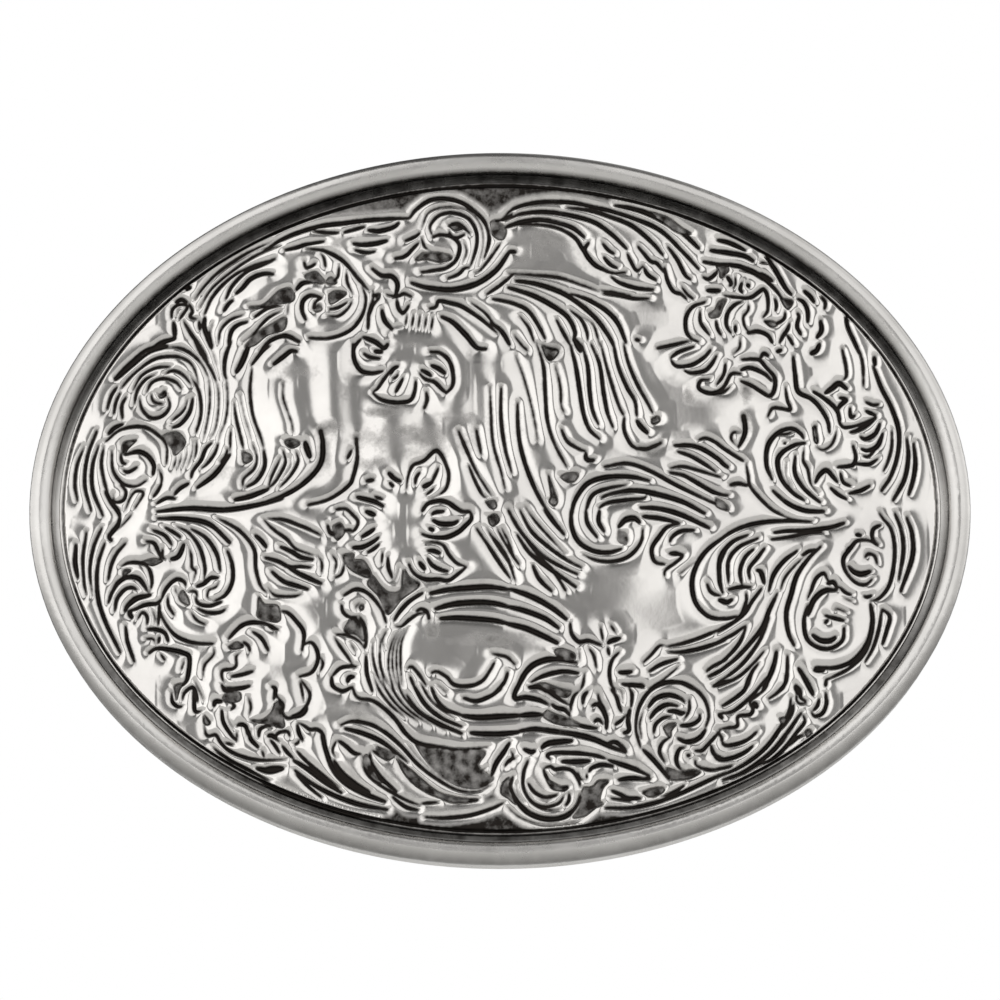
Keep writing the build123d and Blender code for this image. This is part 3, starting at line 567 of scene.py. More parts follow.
pit((-24.5, -8.9), (-23.9, -9.7), (-22.6, -9.9), (-22.4, -11.4), (-23.9, -11.4), (-24.6, -11),
    (-24.6, -10))
cut((-24.9, -2.5), (-24.3, -3), (-23.7, -3.8), w=0.45)
# below the middle: small scroll, leaf spray, lower half of the flower
cut((-24, -0.9), (-23, -1.9), (-21.7, -2.9), (-20.8, -3.9), (-19.6, -4.4), (-18.8, -4.7), w=0.34)
cut((-23.6, -0.8), (-22, -0.9), (-20.6, -1.4), (-19.2, -2), (-18.1, -2.6), w=0.34)
cut((-22.3, -3.7), (-21.2, -4.2), (-20.2, -4.8), (-18.9, -5.1), w=0.5)
cut((-24, -4.8), (-22.6, -5.2), (-21.4, -5.8), (-20.2, -5.8), (-19.1, -5.9), w=0.4)
cut((-21.8, -5.6), (-20.6, -6.4), (-19.2, -7.1), (-18.1, -7.6), w=0.5)
cut((-23.2, -6.3), (-22, -7.3), (-20.6, -7.8), (-19.4, -8.2), w=0.45)
cut((-23.6, -8), (-22.8, -8.8), (-21, -8.9), (-20, -8.6), w=0.25)
cut((-17.5, -1.5), (-17.2, -2.3), (-16.5, -2.4), (-15.9, -2.1), (-15.1, -2), w=0.5)
pit((-17, -1.6), (-16.2, -1.3), (-15.8, -2.2), (-16.4, -3), (-16.9, -2.5))
cut((-17, -4.7), (-16.6, -5.4), (-16.8, -6.6), w=0.25)
cut((-16.1, -4.6), (-15.8, -5.4), (-16.1, -6.6), (-16.8, -7), w=0.3)
pit((-15.9, -4.6), (-14.9, -4.5), (-14.8, -5.1), (-13.8, -5.3), (-13, -7), (-14.7, -6.4),
    (-15.6, -5.6))
cut((-18.6, -4.6), (-18.1, -5.4), (-18.1, -6.6), w=0.22)
cut((-14.1, -2.8), (-13.4, -2.4), (-12.7, -1.9), w=0.45)
cut((-15, -3.9), (-13.9, -3.8), (-12.9, -3.3), (-12.3, -2.8), w=0.5)
cut((-13.5, -4.4), (-12.8, -4), (-12.2, -3.5), w=0.4)
cut((-11.9, -4.3), (-12, -5.6), w=0.25)
cut((-11.4, -4.8), (-11.3, -6), (-10.9, -7.1), w=0.36)
cut((-10.2, -6), (-10.6, -7.2), w=0.2)
pit((-12.9, -6.8), (-11.9, -8.1), (-11, -8.6), (-10, -8.2), (-9.8, -6.2), (-9.2, -7), (-8.2, -7.8),
    (-10, -9.3), (-11.4, -10.8), (-12.3, -9), (-13.4, -7.7))
cut((-9.3, -5.6), (-8.7, -6.6), (-7.6, -7.2), (-6.2, -7.2), (-5.2, -7.3), (-4.2, -6.6),
    (-3.4, -5.9), w=0.42)
cut((-8.2, -5.4), (-7.6, -6.2), w=0.5)
cut((-7.4, -4.9), (-6.9, -5.7), (-6, -6.2), (-5.2, -6.4), w=0.42)
cut((-7.4, -4.2), (-6.8, -4.2), (-6, -4.5), w=0.45)
cut((-7.7, -3.4), (-6.8, -3.3), (-5.8, -3.6), (-5.2, -4.6), (-4.4, -5.5), (-3.4, -5.9), w=0.36)
cut((-7.9, -2.5), (-6.8, -2.8), (-5.5, -2.8), (-4.3, -2.3), (-3.5, -1.6), (-2.9, -0.9), (-3, -0.2),
    w=0.5)
cut((-7.2, -1.9), (-6.7, -2.1), w=0.45)
cut((-6.9, -1), (-6, -1.4), (-4.8, -1.4), (-4.2, -1.1), w=0.5)
fan([(-2.4, -1.9), (-1.5, -3.2), (-0.4, -4.8), (0.6, -6.4)],
    [(-0.4, -1.7), (0.4, -3.2), (1.2, -4.6), (2, -5.8)], 3, w=0.34)
cut((-15.9, -8.9), (-14.6, -8.2), (-13.3, -8.7), (-12.1, -10.2), (-11.5, -11.8), w=0.4)
cut((-16.1, -9.8), (-15.9, -10.6), (-15.2, -11.1), (-14.2, -10.9), w=0.36)
pit((-14.3, -10), (-13.9, -9.8), (-13.9, -10.3), (-14.2, -10.3))
cut((-14.5, -10.6), (-14.6, -10), (-14.2, -9.6), w=0.2)
cut((-14.3, -10.9), (-13.8, -12), (-13.6, -13.4), (-13.7, -14.4), w=0.45)
pit((-15.2, -11.2), (-14.4, -11.2), (-13.9, -12.4), (-13.8, -13.6), (-14.7, -12.9), (-15.8, -12.6))
cut((-16.7, -12.9), (-15.4, -13), (-14.3, -13.6), (-13.8, -14.3), w=0.36)
cut((-16.8, -13.2), (-16.2, -14.2), (-15.5, -15.2), (-14.9, -16.2), w=0.3)
cut((-15.2, -13.8), (-14.6, -14.8), w=0.2)
cut((-17, -17.2), (-16.2, -16.4), (-15.2, -16.2), (-14.5, -16.3), w=0.36)
cut((-17.1, -17.3), (-17, -18.2), (-16.3, -18.8), w=0.4)
cut((-15.5, -17.9), (-15.3, -17.4), (-14.8, -17.3), w=0.5)
fan([(-12.9, -13.8), (-12.9, -15.2), (-12.5, -17), (-11.6, -19)],
    [(-12.1, -13.4), (-12.2, -15.4), (-11.9, -17), (-10.9, -19)], 2)
cut((-11.5, -12.6), (-11.9, -13.5), (-11.6, -14.6), w=0.2)
cut((-13.6, -15), (-13.5, -17), (-12.9, -19), w=0.4)
fan([(-10.3, -12.4), (-11.1, -14.2), (-11.3, -16.5), (-10.6, -19)],
    [(-9.3, -12.2), (-10, -13.8), (-10.1, -16), (-9.9, -18.3)], 4)
cut((-10.7, -12.1), (-10, -12.1), (-9.2, -11.4), (-8.3, -10.8), (-7.4, -10.7), w=0.36)
cut((-10.8, -11.6), (-10.2, -10.6), (-9.2, -9.5), (-7.8, -8.6), w=0.45)
cut((-8.6, -10.6), (-8, -10.3), (-7.4, -10.6), (-7.2, -11.3), w=0.4)
cut((-7.1, -8.7), (-5.4, -8.3), (-3.2, -8.1), (-1, -8), (1, -8.3), w=0.6)
cut((-6.6, -10.3), (-4.8, -9.8), (-2.6, -9.6), (-0.6, -9.7), (1, -10.1), w=0.6)
cut((-6.1, -11.3), (-4.6, -11.2), (-2.6, -11.3), (-0.6, -11.5), (0.8, -11.8), w=0.55)
cut((-9.5, -16.6), (-9, -16.3), (-8.3, -17), (-7.4, -18.4), w=0.34)
cut((-7, -17), (-6.4, -16.8), (-5.4, -17.4), (-4.6, -18.2), (-3, -18.3), (-1.8, -17.8), (-1, -16.7),
    (-0.5, -15.8), w=0.36)
cut((-9.2, -17.2), (-8.6, -18.6), w=0.3)
cut((-22.6, -10.4), (-21.6, -10.6), (-20.6, -11.6), (-19.9, -12.8), (-20.1, -14.6), w=0.4)
cut((-20, -14), (-19.2, -13.7), (-18.6, -14.5), (-18.5, -15.6), (-19.1, -16.8), (-20.4, -17.3),
    w=0.4)
cut((-18.2, -15.2), (-18, -16), (-18.3, -16.8), w=0.3)
cut((-23.6, -11.8), (-22.8, -12.3), w=0.5)
# right of the middle, below: feather strokes, plain medallion, upper part of the lower right flower
cut((0.8, 0), (1.9, -1.9), (3.2, -3.6), (5, -5.2), (7.9, -6.7), w=0.45)
cut((2, 0), (3.2, -2.2), (4.9, -3.8), (6.8, -5.2), (8.3, -6), w=0.42)
cut((1.7, -2.5), (3, -4.4), (4.8, -5.9), (6.9, -7.4), (7.7, -8), w=0.5)
cut((3.3, -5.7), (4, -7.2), (5.3, -8.5), w=0.42)
cut((2.3, -2.6), (3.8, -4.6), (5.4, -6.3), (6.7, -8.4), w=0.42)
cut((2.6, 0.2), (3.6, -1.2), (5, -2.8), (6.7, -4.7), w=0.28)
cut((4.4, 0.1), (5.5, -1.3), (6.6, -2.6), w=0.4)
cut((-1.3, -3.6), (-0.1, -5.4), (1.1, -7.2), w=0.4)
cut((-0.8, -2.6), (0.6, -4.6), (1.6, -7.5), w=0.34)
cut((0.1, -1.8), (0.9, -3.4), (1.5, -5.2), w=0.3)
cut((7.2, 0), (7.3, -1.8), (8, -3.3), (9.4, -4.2), (11, -4.4), (12.4, -4), w=0.5)
cut((8.7, 0), (8.9, -1.4), (9.9, -2.9), w=0.4)
cut((10.1, 0), (10, -1.2), (10.6, -2.3), w=0.4)
cut((8.4, -4.6), (9.8, -5.2), (11.6, -5.3), (13.2, -4.7), (14.3, -3.3), (14.5, -1.9), w=0.4, d=0.26)
cut((12, -1.8), (12.7, -1), (13.6, -0.8), (14.2, -1.3), w=0.6)
pit((12, -2), (12, -3.2), (12.9, -3.4), (12.8, -2.4), d=0.2)
cut((18.4, -1.3), (17, -1.7), (16.1, -2.8), (15.4, -4), (15.7, -5.3), (16.8, -5.6), w=0.42)
cut((19.8, -2), (18.4, -2.1), (17.5, -2.7), (17.2, -3.3), w=0.42)
cut((17.1, -4.5), (17.7, -4.3), (18.5, -4.7), (17.8, -5.4), (16.8, -6.2), (16.7, -6.8), w=0.34)
cut((18.6, -4.6), (18, -4.5), (17.2, -4.5), w=0.4)
cut((20, -5.2), (19.1, -5.9), (18.2, -6.6), w=0.22, d=0.2)
cut((23, -2.5), (21, -4.1), (19.9, -5.8), (19.5, -7.6), (19.9, -9.6), (21.2, -11), (23, -11.3),
    w=0.5)
cut((23, -4), (22.3, -5.6), (22.3, -7.4), (22.7, -8.7), w=0.4)
cut((21, -7.6), (21.5, -8.5), (22.6, -8.9), w=0.36)
cut((22.2, -9.2), (23, -9.4), w=0.45)
cut((1, -8.2), (3.2, -9), (5.2, -10.1), (6.8, -11.4), w=0.6)
cut((0.6, -10), (2.6, -10.5), (4.6, -11.3), (6, -12.3), w=0.55)
cut((0.6, -11.8), (2.6, -12.3), (4.4, -13.1), (5.9, -13.9), w=0.6)
cut((7.1, -11.7), (7.3, -12.9), (8, -13.7), (9, -13.6), (10.4, -14.1), w=0.42)
cut((10.9, -13.9), (11.3, -13.6), (12.2, -13.3), w=0.5)
cut((10.2, -12.2), (10.5, -13.8), w=0.25)
cut((11.2, -12), (11.9, -13), w=0.25, d=0.2)
cut((10.9, -14.2), (11.1, -15.2), w=0.3)
cut((8.9, -14.2), (9.5, -15.2), (9.8, -16.5), w=0.28)
cut((8, -14.6), (8.1, -15.8), w=0.25, d=0.2)
cut((12.1, -14.8), (11.4, -15.6), (11.1, -16.8), (11.3, -18.2), (11.9, -19), w=0.36)
cut((12, -16.9), (12.7, -16.9), (13.4, -16.8), w=0.45)
cut((12.3, -18.1), (13.2, -18.2), (14.6, -18.2), w=0.45)
cut((14.5, -15.9), (15.3, -15.1), (16.2, -14.1), (16.9, -14.1), w=0.28)
cut((15.1, -16.8), (16.4, -16), (18.1, -15.4), w=0.4)
cut((15.4, -18.3), (16.6, -17.6), (18.1, -16.3), w=0.25)
cut((-0.8, -15), (0.6, -15.3), (1.6, -16.2), w=0.3, d=0.22)
cut((0.8, -16.9), (0.4, -18), (-0.5, -19), w=0.34)
cut((1.6, -19), (2.4, -17.2), (3.6, -16), (5.4, -15.5), (7.9, -15.9), w=0.6)
cut((3, -18), (4.6, -17.2), (6.4, -16.8), (8, -17), w=0.45)
pit((5.5, -14.6), (6.3, -14.4), (7.6, -15), (7.4, -15.7), (6, -15.5))
cut((2.9, -18.5), (4, -18.4), (4.8, -18.9), w=0.55)
cut((8.6, -17), (8.4, -18.2), (8, -19), w=0.25)
cut((15, -18.6), (16.6, -17.9), (18.2, -17.9), (19.7, -18.7), w=0.36)
cut((16.8, -14.2), (18.6, -13.8), (20.6, -13.1), (22.6, -12.2), w=0.36)
cut((16.9, -14.7), (18.6, -14.7), (20.8, -14.2), (23, -13.4), w=0.42)
cut((20.9, -16.8), (21.8, -16.1), (23.2, -15.4), w=0.36)
cut((21.1, -17.3), (22.1, -16.8), (23.2, -16.1), w=0.4)
cut((21.6, -18.3), (22.5, -17.9), (23.4, -17.6), w=0.4)
# right, below the middle: two scrolls, feather leaf and stems
cut((38.6, 0), (39, -0.6), (39.8, -1.6), (40.2, -3.4), (40.1, -5.6), (39.6, -7.6), (38.6, -8.9),
    (37.6, -9.2), w=0.4)
cut((40.2, 0), (40.9, -1.8), (41.1, -4), (40.6, -7.2), w=0.45)
cut((41.4, -0.4), (42, -2.2), (42, -4.6), (40.8, -8.2), w=0.48)
cut((22, -3.2), (24, -1.9), (26.2, -1.2), (29, -0.9), (31.8, -1), w=0.42)
cut((27.8, -2.2), (29, -2), (31, -1.9), (33.4, -1.6), (35, -1.1), w=0.5)
cut((27.5, -2.9), (29.4, -2.6), (31.2, -2.2), (33, -2.1), w=0.4)
cut((25.3, -2.4), (23.6, -3.2), (22.4, -4.8), (22.3, -7), (22.6, -8.6), w=0.5)
cut((26.2, -2.8), (24.3, -3.7), (23.2, -5.2), (23.2, -7.6), w=0.42)
cut((25.9, -3.8), (24.9, -4.8), (24.4, -6.2), (24.6, -7.8), w=0.42)
cut((26.9, -3.8), (26.1, -4.9), (25.3, -6), (25.4, -7.2), w=0.4)
cut((26, -6.1), (26.5, -6.3), (26.9, -7.6), w=0.5)
cut((23.1, -8.2), (24.4, -7.9), (25.6, -7.9), w=0.4)
cut((25, -8.4), (25, -9.5), (24.2, -11.2), (22, -12.5), w=0.42)
cut((26.7, -7.9), (25.6, -9.4), (24.6, -10.9), (22, -12.8), w=0.4)
cut((22.2, -9.3), (23, -9.5), (23.6, -9.2), w=0.5)
cut((22, -11.2), (23.2, -11.2), (24.2, -10.9), w=0.4)
cut((30.3, -4), (28.9, -5.1), (27.8, -6.6), (27.3, -8.4), w=0.45)
cut((31.4, -4.2), (29.8, -5.8), (28.9, -7), (28.5, -8.2), w=0.28)
cut((32.6, -3.6), (31.4, -4.8), (30.2, -6.6), (29.6, -8.6), (29.1, -10.6), (29.3, -12.6),
    (29.9, -14), w=0.5)
cut((30.6, -4.6), (31.4, -4.1), (32.4, -3.9), w=0.4)
cut((28.2, -8.5), (27.4, -10.2), (26.6, -12.2), (25.3, -13.9), (23.8, -15.5), (22, -16.9), w=0.5)
cut((27.4, -11), (26.4, -13.4), (24.9, -15.6), (23.4, -17), (22, -17.9), w=0.42)
cut((25, -11.9), (23.6, -12.9), (22, -13.7), w=0.34)
cut((25, -12.1), (24.4, -13.6), (23.4, -14.9), (22, -16.2), w=0.4)
cut((26.8, -14.6), (25.8, -15.8), (24.3, -17.2), (22, -18.4), w=0.34)
cut((26.3, -15.8), (25.6, -16.8), (25.2, -18.4), w=0.34)
cut((28.1, -14.6), (27.9, -15.8), (27.4, -17.2), (26.6, -18.8), w=0.5)
cut((29.2, -15), (29.2, -16.6), (29, -17.9), (28, -19), w=0.36)
cut((30.3, -16.3), (31.1, -17.5), (31.9, -19), w=0.5)
cut((30, -18.2), (30.4, -19), w=0.5)
cut((38.8, -1.2), (38, -1.7), (37.9, -2.6), (38.5, -3.4), w=0.42)
cut((36.2, -2.3), (36.8, -2.4), w=0.45)
cut((38.4, -3.4), (37.6, -2.9), (36.4, -2.9), (35.6, -3.8), (34.9, -4.9), (35.2, -6.2),
    (36.2, -7.3), (37.2, -7.5), (37.9, -6.9), w=0.42)
cut((35.4, -5.6), (36, -6.2), (36.8, -6.4), (37.7, -6.1), w=0.6)
cut((37.1, -4.7), (37.5, -4.3), (38.1, -4.5), (38.4, -5.4), w=0.3)
cut((35.6, -3.6), (35.2, -4.2), w=0.4)
cut((37, -8.7), (37.4, -8.8), (37.9, -8.6), w=0.36)
cut((34.4, -7.7), (35.2, -8.4), (35.8, -8.6), w=0.36)
cut((34.9, -8.9), (35.8, -9.3), w=0.22, d=0.2)
cut((37.7, -9.4), (37.9, -11.4), (37.4, -13.6), (36, -15.4), (34.2, -16.2), (32, -16.2), w=0.5)
cut((37.9, -9.8), (38, -11.8), (37.3, -14.4), (35.6, -16.2), (33.8, -17.2), (33.2, -17.5), w=0.4)
cut((31.9, -16.5), (33, -16.5), w=0.5)
cut((34.3, -8.1), (33, -8.2), (31.9, -9.2), (31.3, -10.8), w=0.6)
cut((31.3, -9.6), (30.9, -11.4), (31.2, -13.2), (32.3, -14.1), (33.6, -14.2), (34.8, -13.4),
    (35, -12), w=0.45)
cut((31.7, -12.8), (32.6, -13.4), (33.6, -13.4), (34.2, -13), w=0.6)
cut((33, -10.8), (33.8, -11), (35, -11.3), w=0.4)
cut((33, -11.6), (33.4, -11.2), w=0.36)
cut((33.9, -10.4), (34.3, -10.1), (35.2, -10.5), w=0.22, d=0.2)
cut((31.2, -9.2), (31.6, -8.3), (32.1, -7), (32.9, -6.4), (33.4, -7.2), (34, -7.4), w=0.36)
cut((33.2, -7.5), (33.9, -7.3), (34.3, -8), w=0.5)
cut((38.9, -10), (38.6, -12), (38, -14), (37.1, -15.7), w=0.42)
cut((38.9, -10), (39.7, -10.8), (39.4, -12.2), (38.9, -13.8), w=0.42)
# lower left: bead-petalled flower
pit((-33.1, -18.1), (-32.3, -17.9), (-32.6, -18.6), (-32.9, -19.6), (-33, -19.2))
cut((-33.4, -18.8), (-33.3, -19.8), (-32.8, -20.3), (-32.3, -20.3), w=0.36)
cut((-32.3, -19.7), (-32.1, -18.9), (-31.3, -18.3), (-30.9, -18.9), (-30.7, -20), w=0.4)
cut((-31.2, -18.5), (-31.1, -19.6), (-31, -20.8), (-30.3, -20.8), w=0.4)
cut((-31.1, -17.6), (-30.6, -18.6), (-30.1, -19.8), w=0.24)
pit((-30.1, -21.2), (-29.5, -22), (-29.8, -22.2), (-30.1, -22))
cut((-30.1, -22.2), (-29.9, -23.2), (-29.6, -23.4), (-28.9, -23.3), (-28.4, -24.1), (-27.6, -24.9),
    (-26.4, -25.5), (-25, -25.9), (-23.4, -26), (-21.6, -25.9), w=0.34)
cut((-29.1, -20.3), (-28.9, -19.8), (-28.2, -19.8), w=0.5)
cut((-28.3, -18), (-27.9, -18.7), (-27, -18.5), (-26.2, -18.4), (-25.4, -18.2), w=0.5)
pit((-27.8, -18.8), (-26.6, -18.8), (-26.4, -19.6), (-27.2, -19.9), (-28.2, -19.6))
cut((-27.4, -19.8), (-27, -20.3), (-27.4, -20.7), w=0.36)
cut((-28.3, -20.6), (-28.1, -22), (-27.4, -23.2), (-26.7, -24), w=0.4)
cut((-27.7, -20.8), (-27.6, -21.8), (-27, -22.9), w=0.25, d=0.22)
cut((-28, -24.1), (-27, -24.4), w=0.3)
cut((-26.8, -22.4), (-26.3, -22.2), (-25.8, -22.5), (-25.6, -23.4), w=0.4)
cut((-25.5, -22.9), (-25.3, -23.8), (-24.5, -24.7), w=0.4)
cut((-26.8, -23), (-26.7, -23.8), w=0.25)
pit((-25.4, -21.8), (-24.2, -21.8), (-23.2, -21), (-22.8, -20), (-22.2, -20), (-22, -21.6),
    (-22, -22.6), (-22.9, -22.4), (-23.8, -22.2))
cut((-24.5, -23.6), (-24.4, -22.8), (-23.7, -22.4), (-23, -22.6), w=0.4)
cut((-23.6, -23.5), (-23.2, -23.4), (-22.7, -23.8), w=0.5)
cut((-23.4, -23.8), (-22.9, -24.4), (-22.3, -25.4), w=0.36)
cut((-24.2, -25), (-23.9, -25.8), w=0.3, d=0.22)
cut((-23.2, -18.3), (-22.8, -18.6), (-23, -19.8), w=0.4)
cut((-25.6, -19.4), (-25.3, -20.4), (-25.5, -21.4), w=0.24, d=0.2)
cut((-24.8, -26.8), (-23.4, -27.1), (-22, -26.9), w=0.6)
cut((-29.2, -24.6), (-27.6, -25.9), (-25.6, -27), (-23.4, -28.2), w=0.36)
# below: acanthus leaves along the lower edge, lower strokes of the curled plume
cut((-23, -18.4), (-22.6, -19.4), (-22, -20.2), (-22.1, -21), (-21.6, -21.6), (-20.6, -21.3),
    (-19.7, -20.4), (-19.3, -19.2), (-19.8, -18.2), (-20.2, -17.6), w=0.36)
cut((-20.3, -17.8), (-20.1, -18.8), (-19.9, -20), w=0.28)
cut((-21.2, -21.5), (-20.2, -21.2), (-19.6, -20.6), w=0.6)
cut((-22.3, -24.2), (-22.8, -23.6), (-22.4, -23.1), (-21.6, -23), (-21.3, -23.6), w=0.36)
cut((-22.2, -24.4), (-21.6, -25.2), (-20.9, -25.9), w=0.36)
cut((-20.6, -22.2), (-20.4, -23.2), (-20, -24), w=0.4)
cut((-20.9, -24.4), (-20.5, -24.2), (-20.4, -23.8), w=0.28)
cut((-20.6, -22), (-19.9, -22.4), (-19.3, -22.8), (-18.6, -22.8), (-18, -23.3), (-17.6, -24.6),
    w=0.36)
cut((-21, -26), (-19.4, -27), (-17.6, -28.4), (-16, -29.5), w=0.6)
cut((-20.7, -25), (-19.6, -26.2), (-18, -27.6), (-16.2, -29), w=0.42)
cut((-20.9, -27), (-19.2, -28.4), (-17.2, -29.5), (-14.4, -30.6), (-11.4, -31.2), w=0.5)
cut((-20.8, -27.4), (-19.4, -28.8), (-18, -30), w=0.36)
cut((-22, -26.8), (-23, -26.8), (-24, -26.9), w=0.5)
cut((-24, -28.4), (-21.6, -29.6), (-18.8, -30.6), (-15.6, -31.6), (-12.4, -32.2), w=0.42)
cut((-18.1, -23.4), (-17.6, -25.2), (-17, -26.8), (-15.9, -28.2), (-14, -29.4), (-11.6, -30.4),
    w=0.6)
cut((-16.6, -24), (-17, -25), (-16.6, -26), w=0.3)
cut((-16.9, -26), (-16.2, -27.2), (-14.9, -28.4), (-13.2, -29.4), w=0.6)
cut((-16.4, -24), (-15.6, -24.6), (-14.8, -25.3), (-14, -25.4), w=0.42)
cut((-14.1, -25.4), (-13.9, -26.6), (-13.2, -27.8), (-11.6, -29), (-9.6, -30.2), (-8, -30.8),
    w=0.36)
cut((-13.2, -25.2), (-13.1, -26.2), (-12.6, -27.2), (-11.8, -28.2), (-10.4, -29.4), w=0.5)
pit((-13.9, -25.6), (-13.3, -25.6), (-12.8, -27.4), (-11.9, -28.4), (-12.9, -28), (-13.7, -26.9))
cut((-13, -25), (-12, -25.6), (-11.2, -26), w=0.42)
pit((-12.6, -24.6), (-11.4, -25), (-10.6, -25.4), (-11.4, -26), (-12.4, -25.4))
pit((-10.6, -25.6), (-9.2, -26.9), (-8, -28), (-6.2, -29.4), (-4, -30), (-2.2, -30.2),
    (-4.4, -30.5), (-6.4, -29.9), (-8.4, -28.8), (-9.7, -27.4))
cut((-16.2, -22.4), (-15, -22), (-13.2, -22.3), (-11.6, -23.2), (-10, -24.6), (-8.4, -26.4),
    (-6.4, -28), (-4.2, -29.2), (-2.2, -29.3), (-0.8, -28.6), w=0.42)
cut((-15.8, -22.7), (-14, -23.2), (-12.2, -24), (-10.6, -25.2), (-9.2, -26.4), w=0.5)
cut((-9.6, -24.2), (-8.2, -25.9), (-6.4, -27.6), (-4.6, -28.6), w=0.24)
cut((-8, -30.6), (-6, -30.4), w=0.3)
cut((-11, -29.8), (-9.6, -30.9), (-8.2, -31.3), w=0.4)
cut((-7.6, -32), (-5.6, -32.1), (-3, -31.8), (-0.8, -31.1), (0.6, -30.4), w=0.36)
cut((-15, -18.3), (-14.7, -19.2), (-14.2, -19.6), (-13, -19.8), (-11.8, -20.6), (-10.6, -21.8),
    (-9.6, -23.2), (-8.4, -24.2), (-6.4, -24.6), (-4, -24.9), (-1.2, -24.7), w=0.42)
pit((-8.6, -24.3), (-5.8, -24.9), (-2.8, -24.9), (-1.5, -25.2), (-2.2, -26.6), (-1.4, -27.4),
    (-0.7, -28), (-2, -29), (-4.4, -28.7), (-6.6, -27.2), (-7.8, -25.7), d=0.28)
cut((-2.2, -26.6), (-1.9, -27.1), (-1.4, -26.9), w=0.3)
fan([(-12.9, -17), (-12.2, -18.8), (-11, -20.4), (-9.6, -21.6)],
    [(-10.4, -17), (-10, -19), (-8.4, -21), (-5.4, -23)], 4, w=0.34)
cut((-9.5, -19.2), (-8.4, -20.8), (-6.6, -22), (-3.8, -23.3), w=0.5)
cut((-8.8, -18.2), (-7.6, -20.2), (-6, -21.6), (-3.8, -22.6), w=0.5)
cut((-8.1, -18), (-7, -19.8), (-5.6, -21), (-4.4, -21.8), w=0.34)
cut((-7, -18.4), (-6.4, -19.8), (-5.4, -20.8), (-3.8, -21.4), w=0.45)
cut((-3.9, -21.4), (-2.2, -21.6), (0, -21.5), (2, -21.4), w=0.6)
cut((-3, -23.2), (-1.6, -23.3), (0.2, -23.3), (2, -23.1), w=0.55)
cut((-3.7, -19.6), (-2.4, -19.9), (-1, -19.4), (0.2, -18.6), w=0.4)
cut((-6.4, -18.2), (-5.4, -19), w=0.2, d=0.2)
cut((-16.8, -18.4), (-16, -18.8), (-15, -18.4), w=0.4)
# below right of the middle: flower, curled leaf, bell scroll at the bottom, large right scroll
cut((0.8, -17.2), (0.3, -18.2), (-0.6, -19), w=0.3)
cut((2.6, -17.2), (1.7, -18.6), (1.5, -19.6), (2.6, -19.5), (4, -19.8), (5, -20.3), w=0.5)
pit((2.8, -18.4), (4, -18.3), (5.2, -19), (6.6, -19.5), (7.2, -18.9), (6, -18.6), (4.4, -18), d=0.3)
cut((4.2, -18.4), (5.2, -19.1), (6.2, -19.8), (7.2, -20.4), w=0.4)
cut((5.2, -20.2), (5.8, -20.6), (6.6, -20.8), (7.2, -21.6), w=0.5)
pit((4.8, -20.8), (5.8, -21.3), (6.8, -21.6), (8.2, -22.4), (6.6, -22.4), (5.2, -22), (4.4, -21.4))
cut((8, -18.9), (7.5, -19.4), (7.2, -20.4), (7.2, -21.2), w=0.34)
cut((8.9, -18.9), (8.5, -19.4), (8.4, -20.2), w=0.4)
cut((7, -21.6), (7.8, -22.3), (8.9, -22.6), (10, -22.7), w=0.4)
cut((9.3, -20.4), (9.9, -20.2), (10.5, -20.9), (10.8, -21.8), (10.8, -22.8), w=0.5)
cut((9.9, -19.2), (10.2, -20.1), (10.8, -21), w=0.34)
cut((9.5, -22.1), (10, -21.8), (10.5, -22.3), w=0.4)
cut((11.2, -18.6), (11.8, -19.4), (12.1, -20.4), (12.4, -21.1), w=0.4)
cut((11.6, -18.4), (12.3, -18.9), (12.5, -20), w=0.22)
cut((11.6, -22.4), (12.4, -21.8), (12.8, -21.2), w=0.34)
cut((13.2, -20.7), (13, -21.8), (13.1, -22.9), (12.5, -23.2), w=0.5)
cut((13, -18.3), (13.4, -19.2), (13.3, -20.6), w=0.34)
cut((12.9, -18.1), (13.8, -18.2), (14.7, -18.4), w=0.45)
cut((2, -21.4), (3.2, -21.3), (4.4, -21.3), w=0.55)
cut((2, -23), (3.6, -22.8), (5.4, -23), (7.4, -23.3), (9.4, -23.8), (11.2, -24.6), (12.8, -25.2),
    w=0.6)
cut((4.2, -24.8), (4.9, -24.3), (6.2, -24.1), (7.4, -24), w=0.6)
cut((11, -24.2), (11.8, -24.2), (12.8, -25), w=0.5)
cut((5.2, -26.1), (4.8, -25.6), (5.4, -25.3), (7.4, -25.3), (9.4, -25.5), (10.8, -25.9), w=0.45)
cut((6.2, -26.2), (7.6, -26.2), (9.2, -26.1), w=0.6)
cut((4.5, -26.9), (5.1, -26.7), (5.6, -27), (6.6, -26.9), (7.4, -27.2), (8, -28.2), (8.2, -29),
    w=0.4)
cut((4.4, -27), (4.7, -27.8), (5, -28.2), w=0.34)
pit((4.7, -28), (5.4, -28.4), (6.2, -28.8), (6.9, -28.8), (6.6, -29.2), (5.8, -29.2), (5.2, -28.9))
cut((2.9, -26), (2.4, -27.4), (2.4, -29), (3.2, -30.4), (4.6, -31.2), (6.2, -31.2), w=0.34)
cut((2.8, -28.4), (3.4, -29.3), (4.4, -29.9), (5.4, -29.8), (6, -29.5), w=0.4)
cut((2.8, -29.9), (3.6, -30.6), (4.8, -30.9), (6, -30.5), (6.6, -29.6), w=0.34)
cut((7, -29.4), (7, -30.2), (6.6, -30.9), w=0.34)
cut((3.6, -30), (4.6, -30.3), (5.4, -30.1), w=0.25)
cut((1.3, -27.8), (1.1, -29), (1.8, -30.4), (3, -31.6), (4.8, -32.2), (6.6, -31.9), (7.8, -30.8),
    (8.2, -29.4), w=0.6)
cut((1.6, -28.4), (1.8, -29.6), (2.6, -30.6), w=0.24)
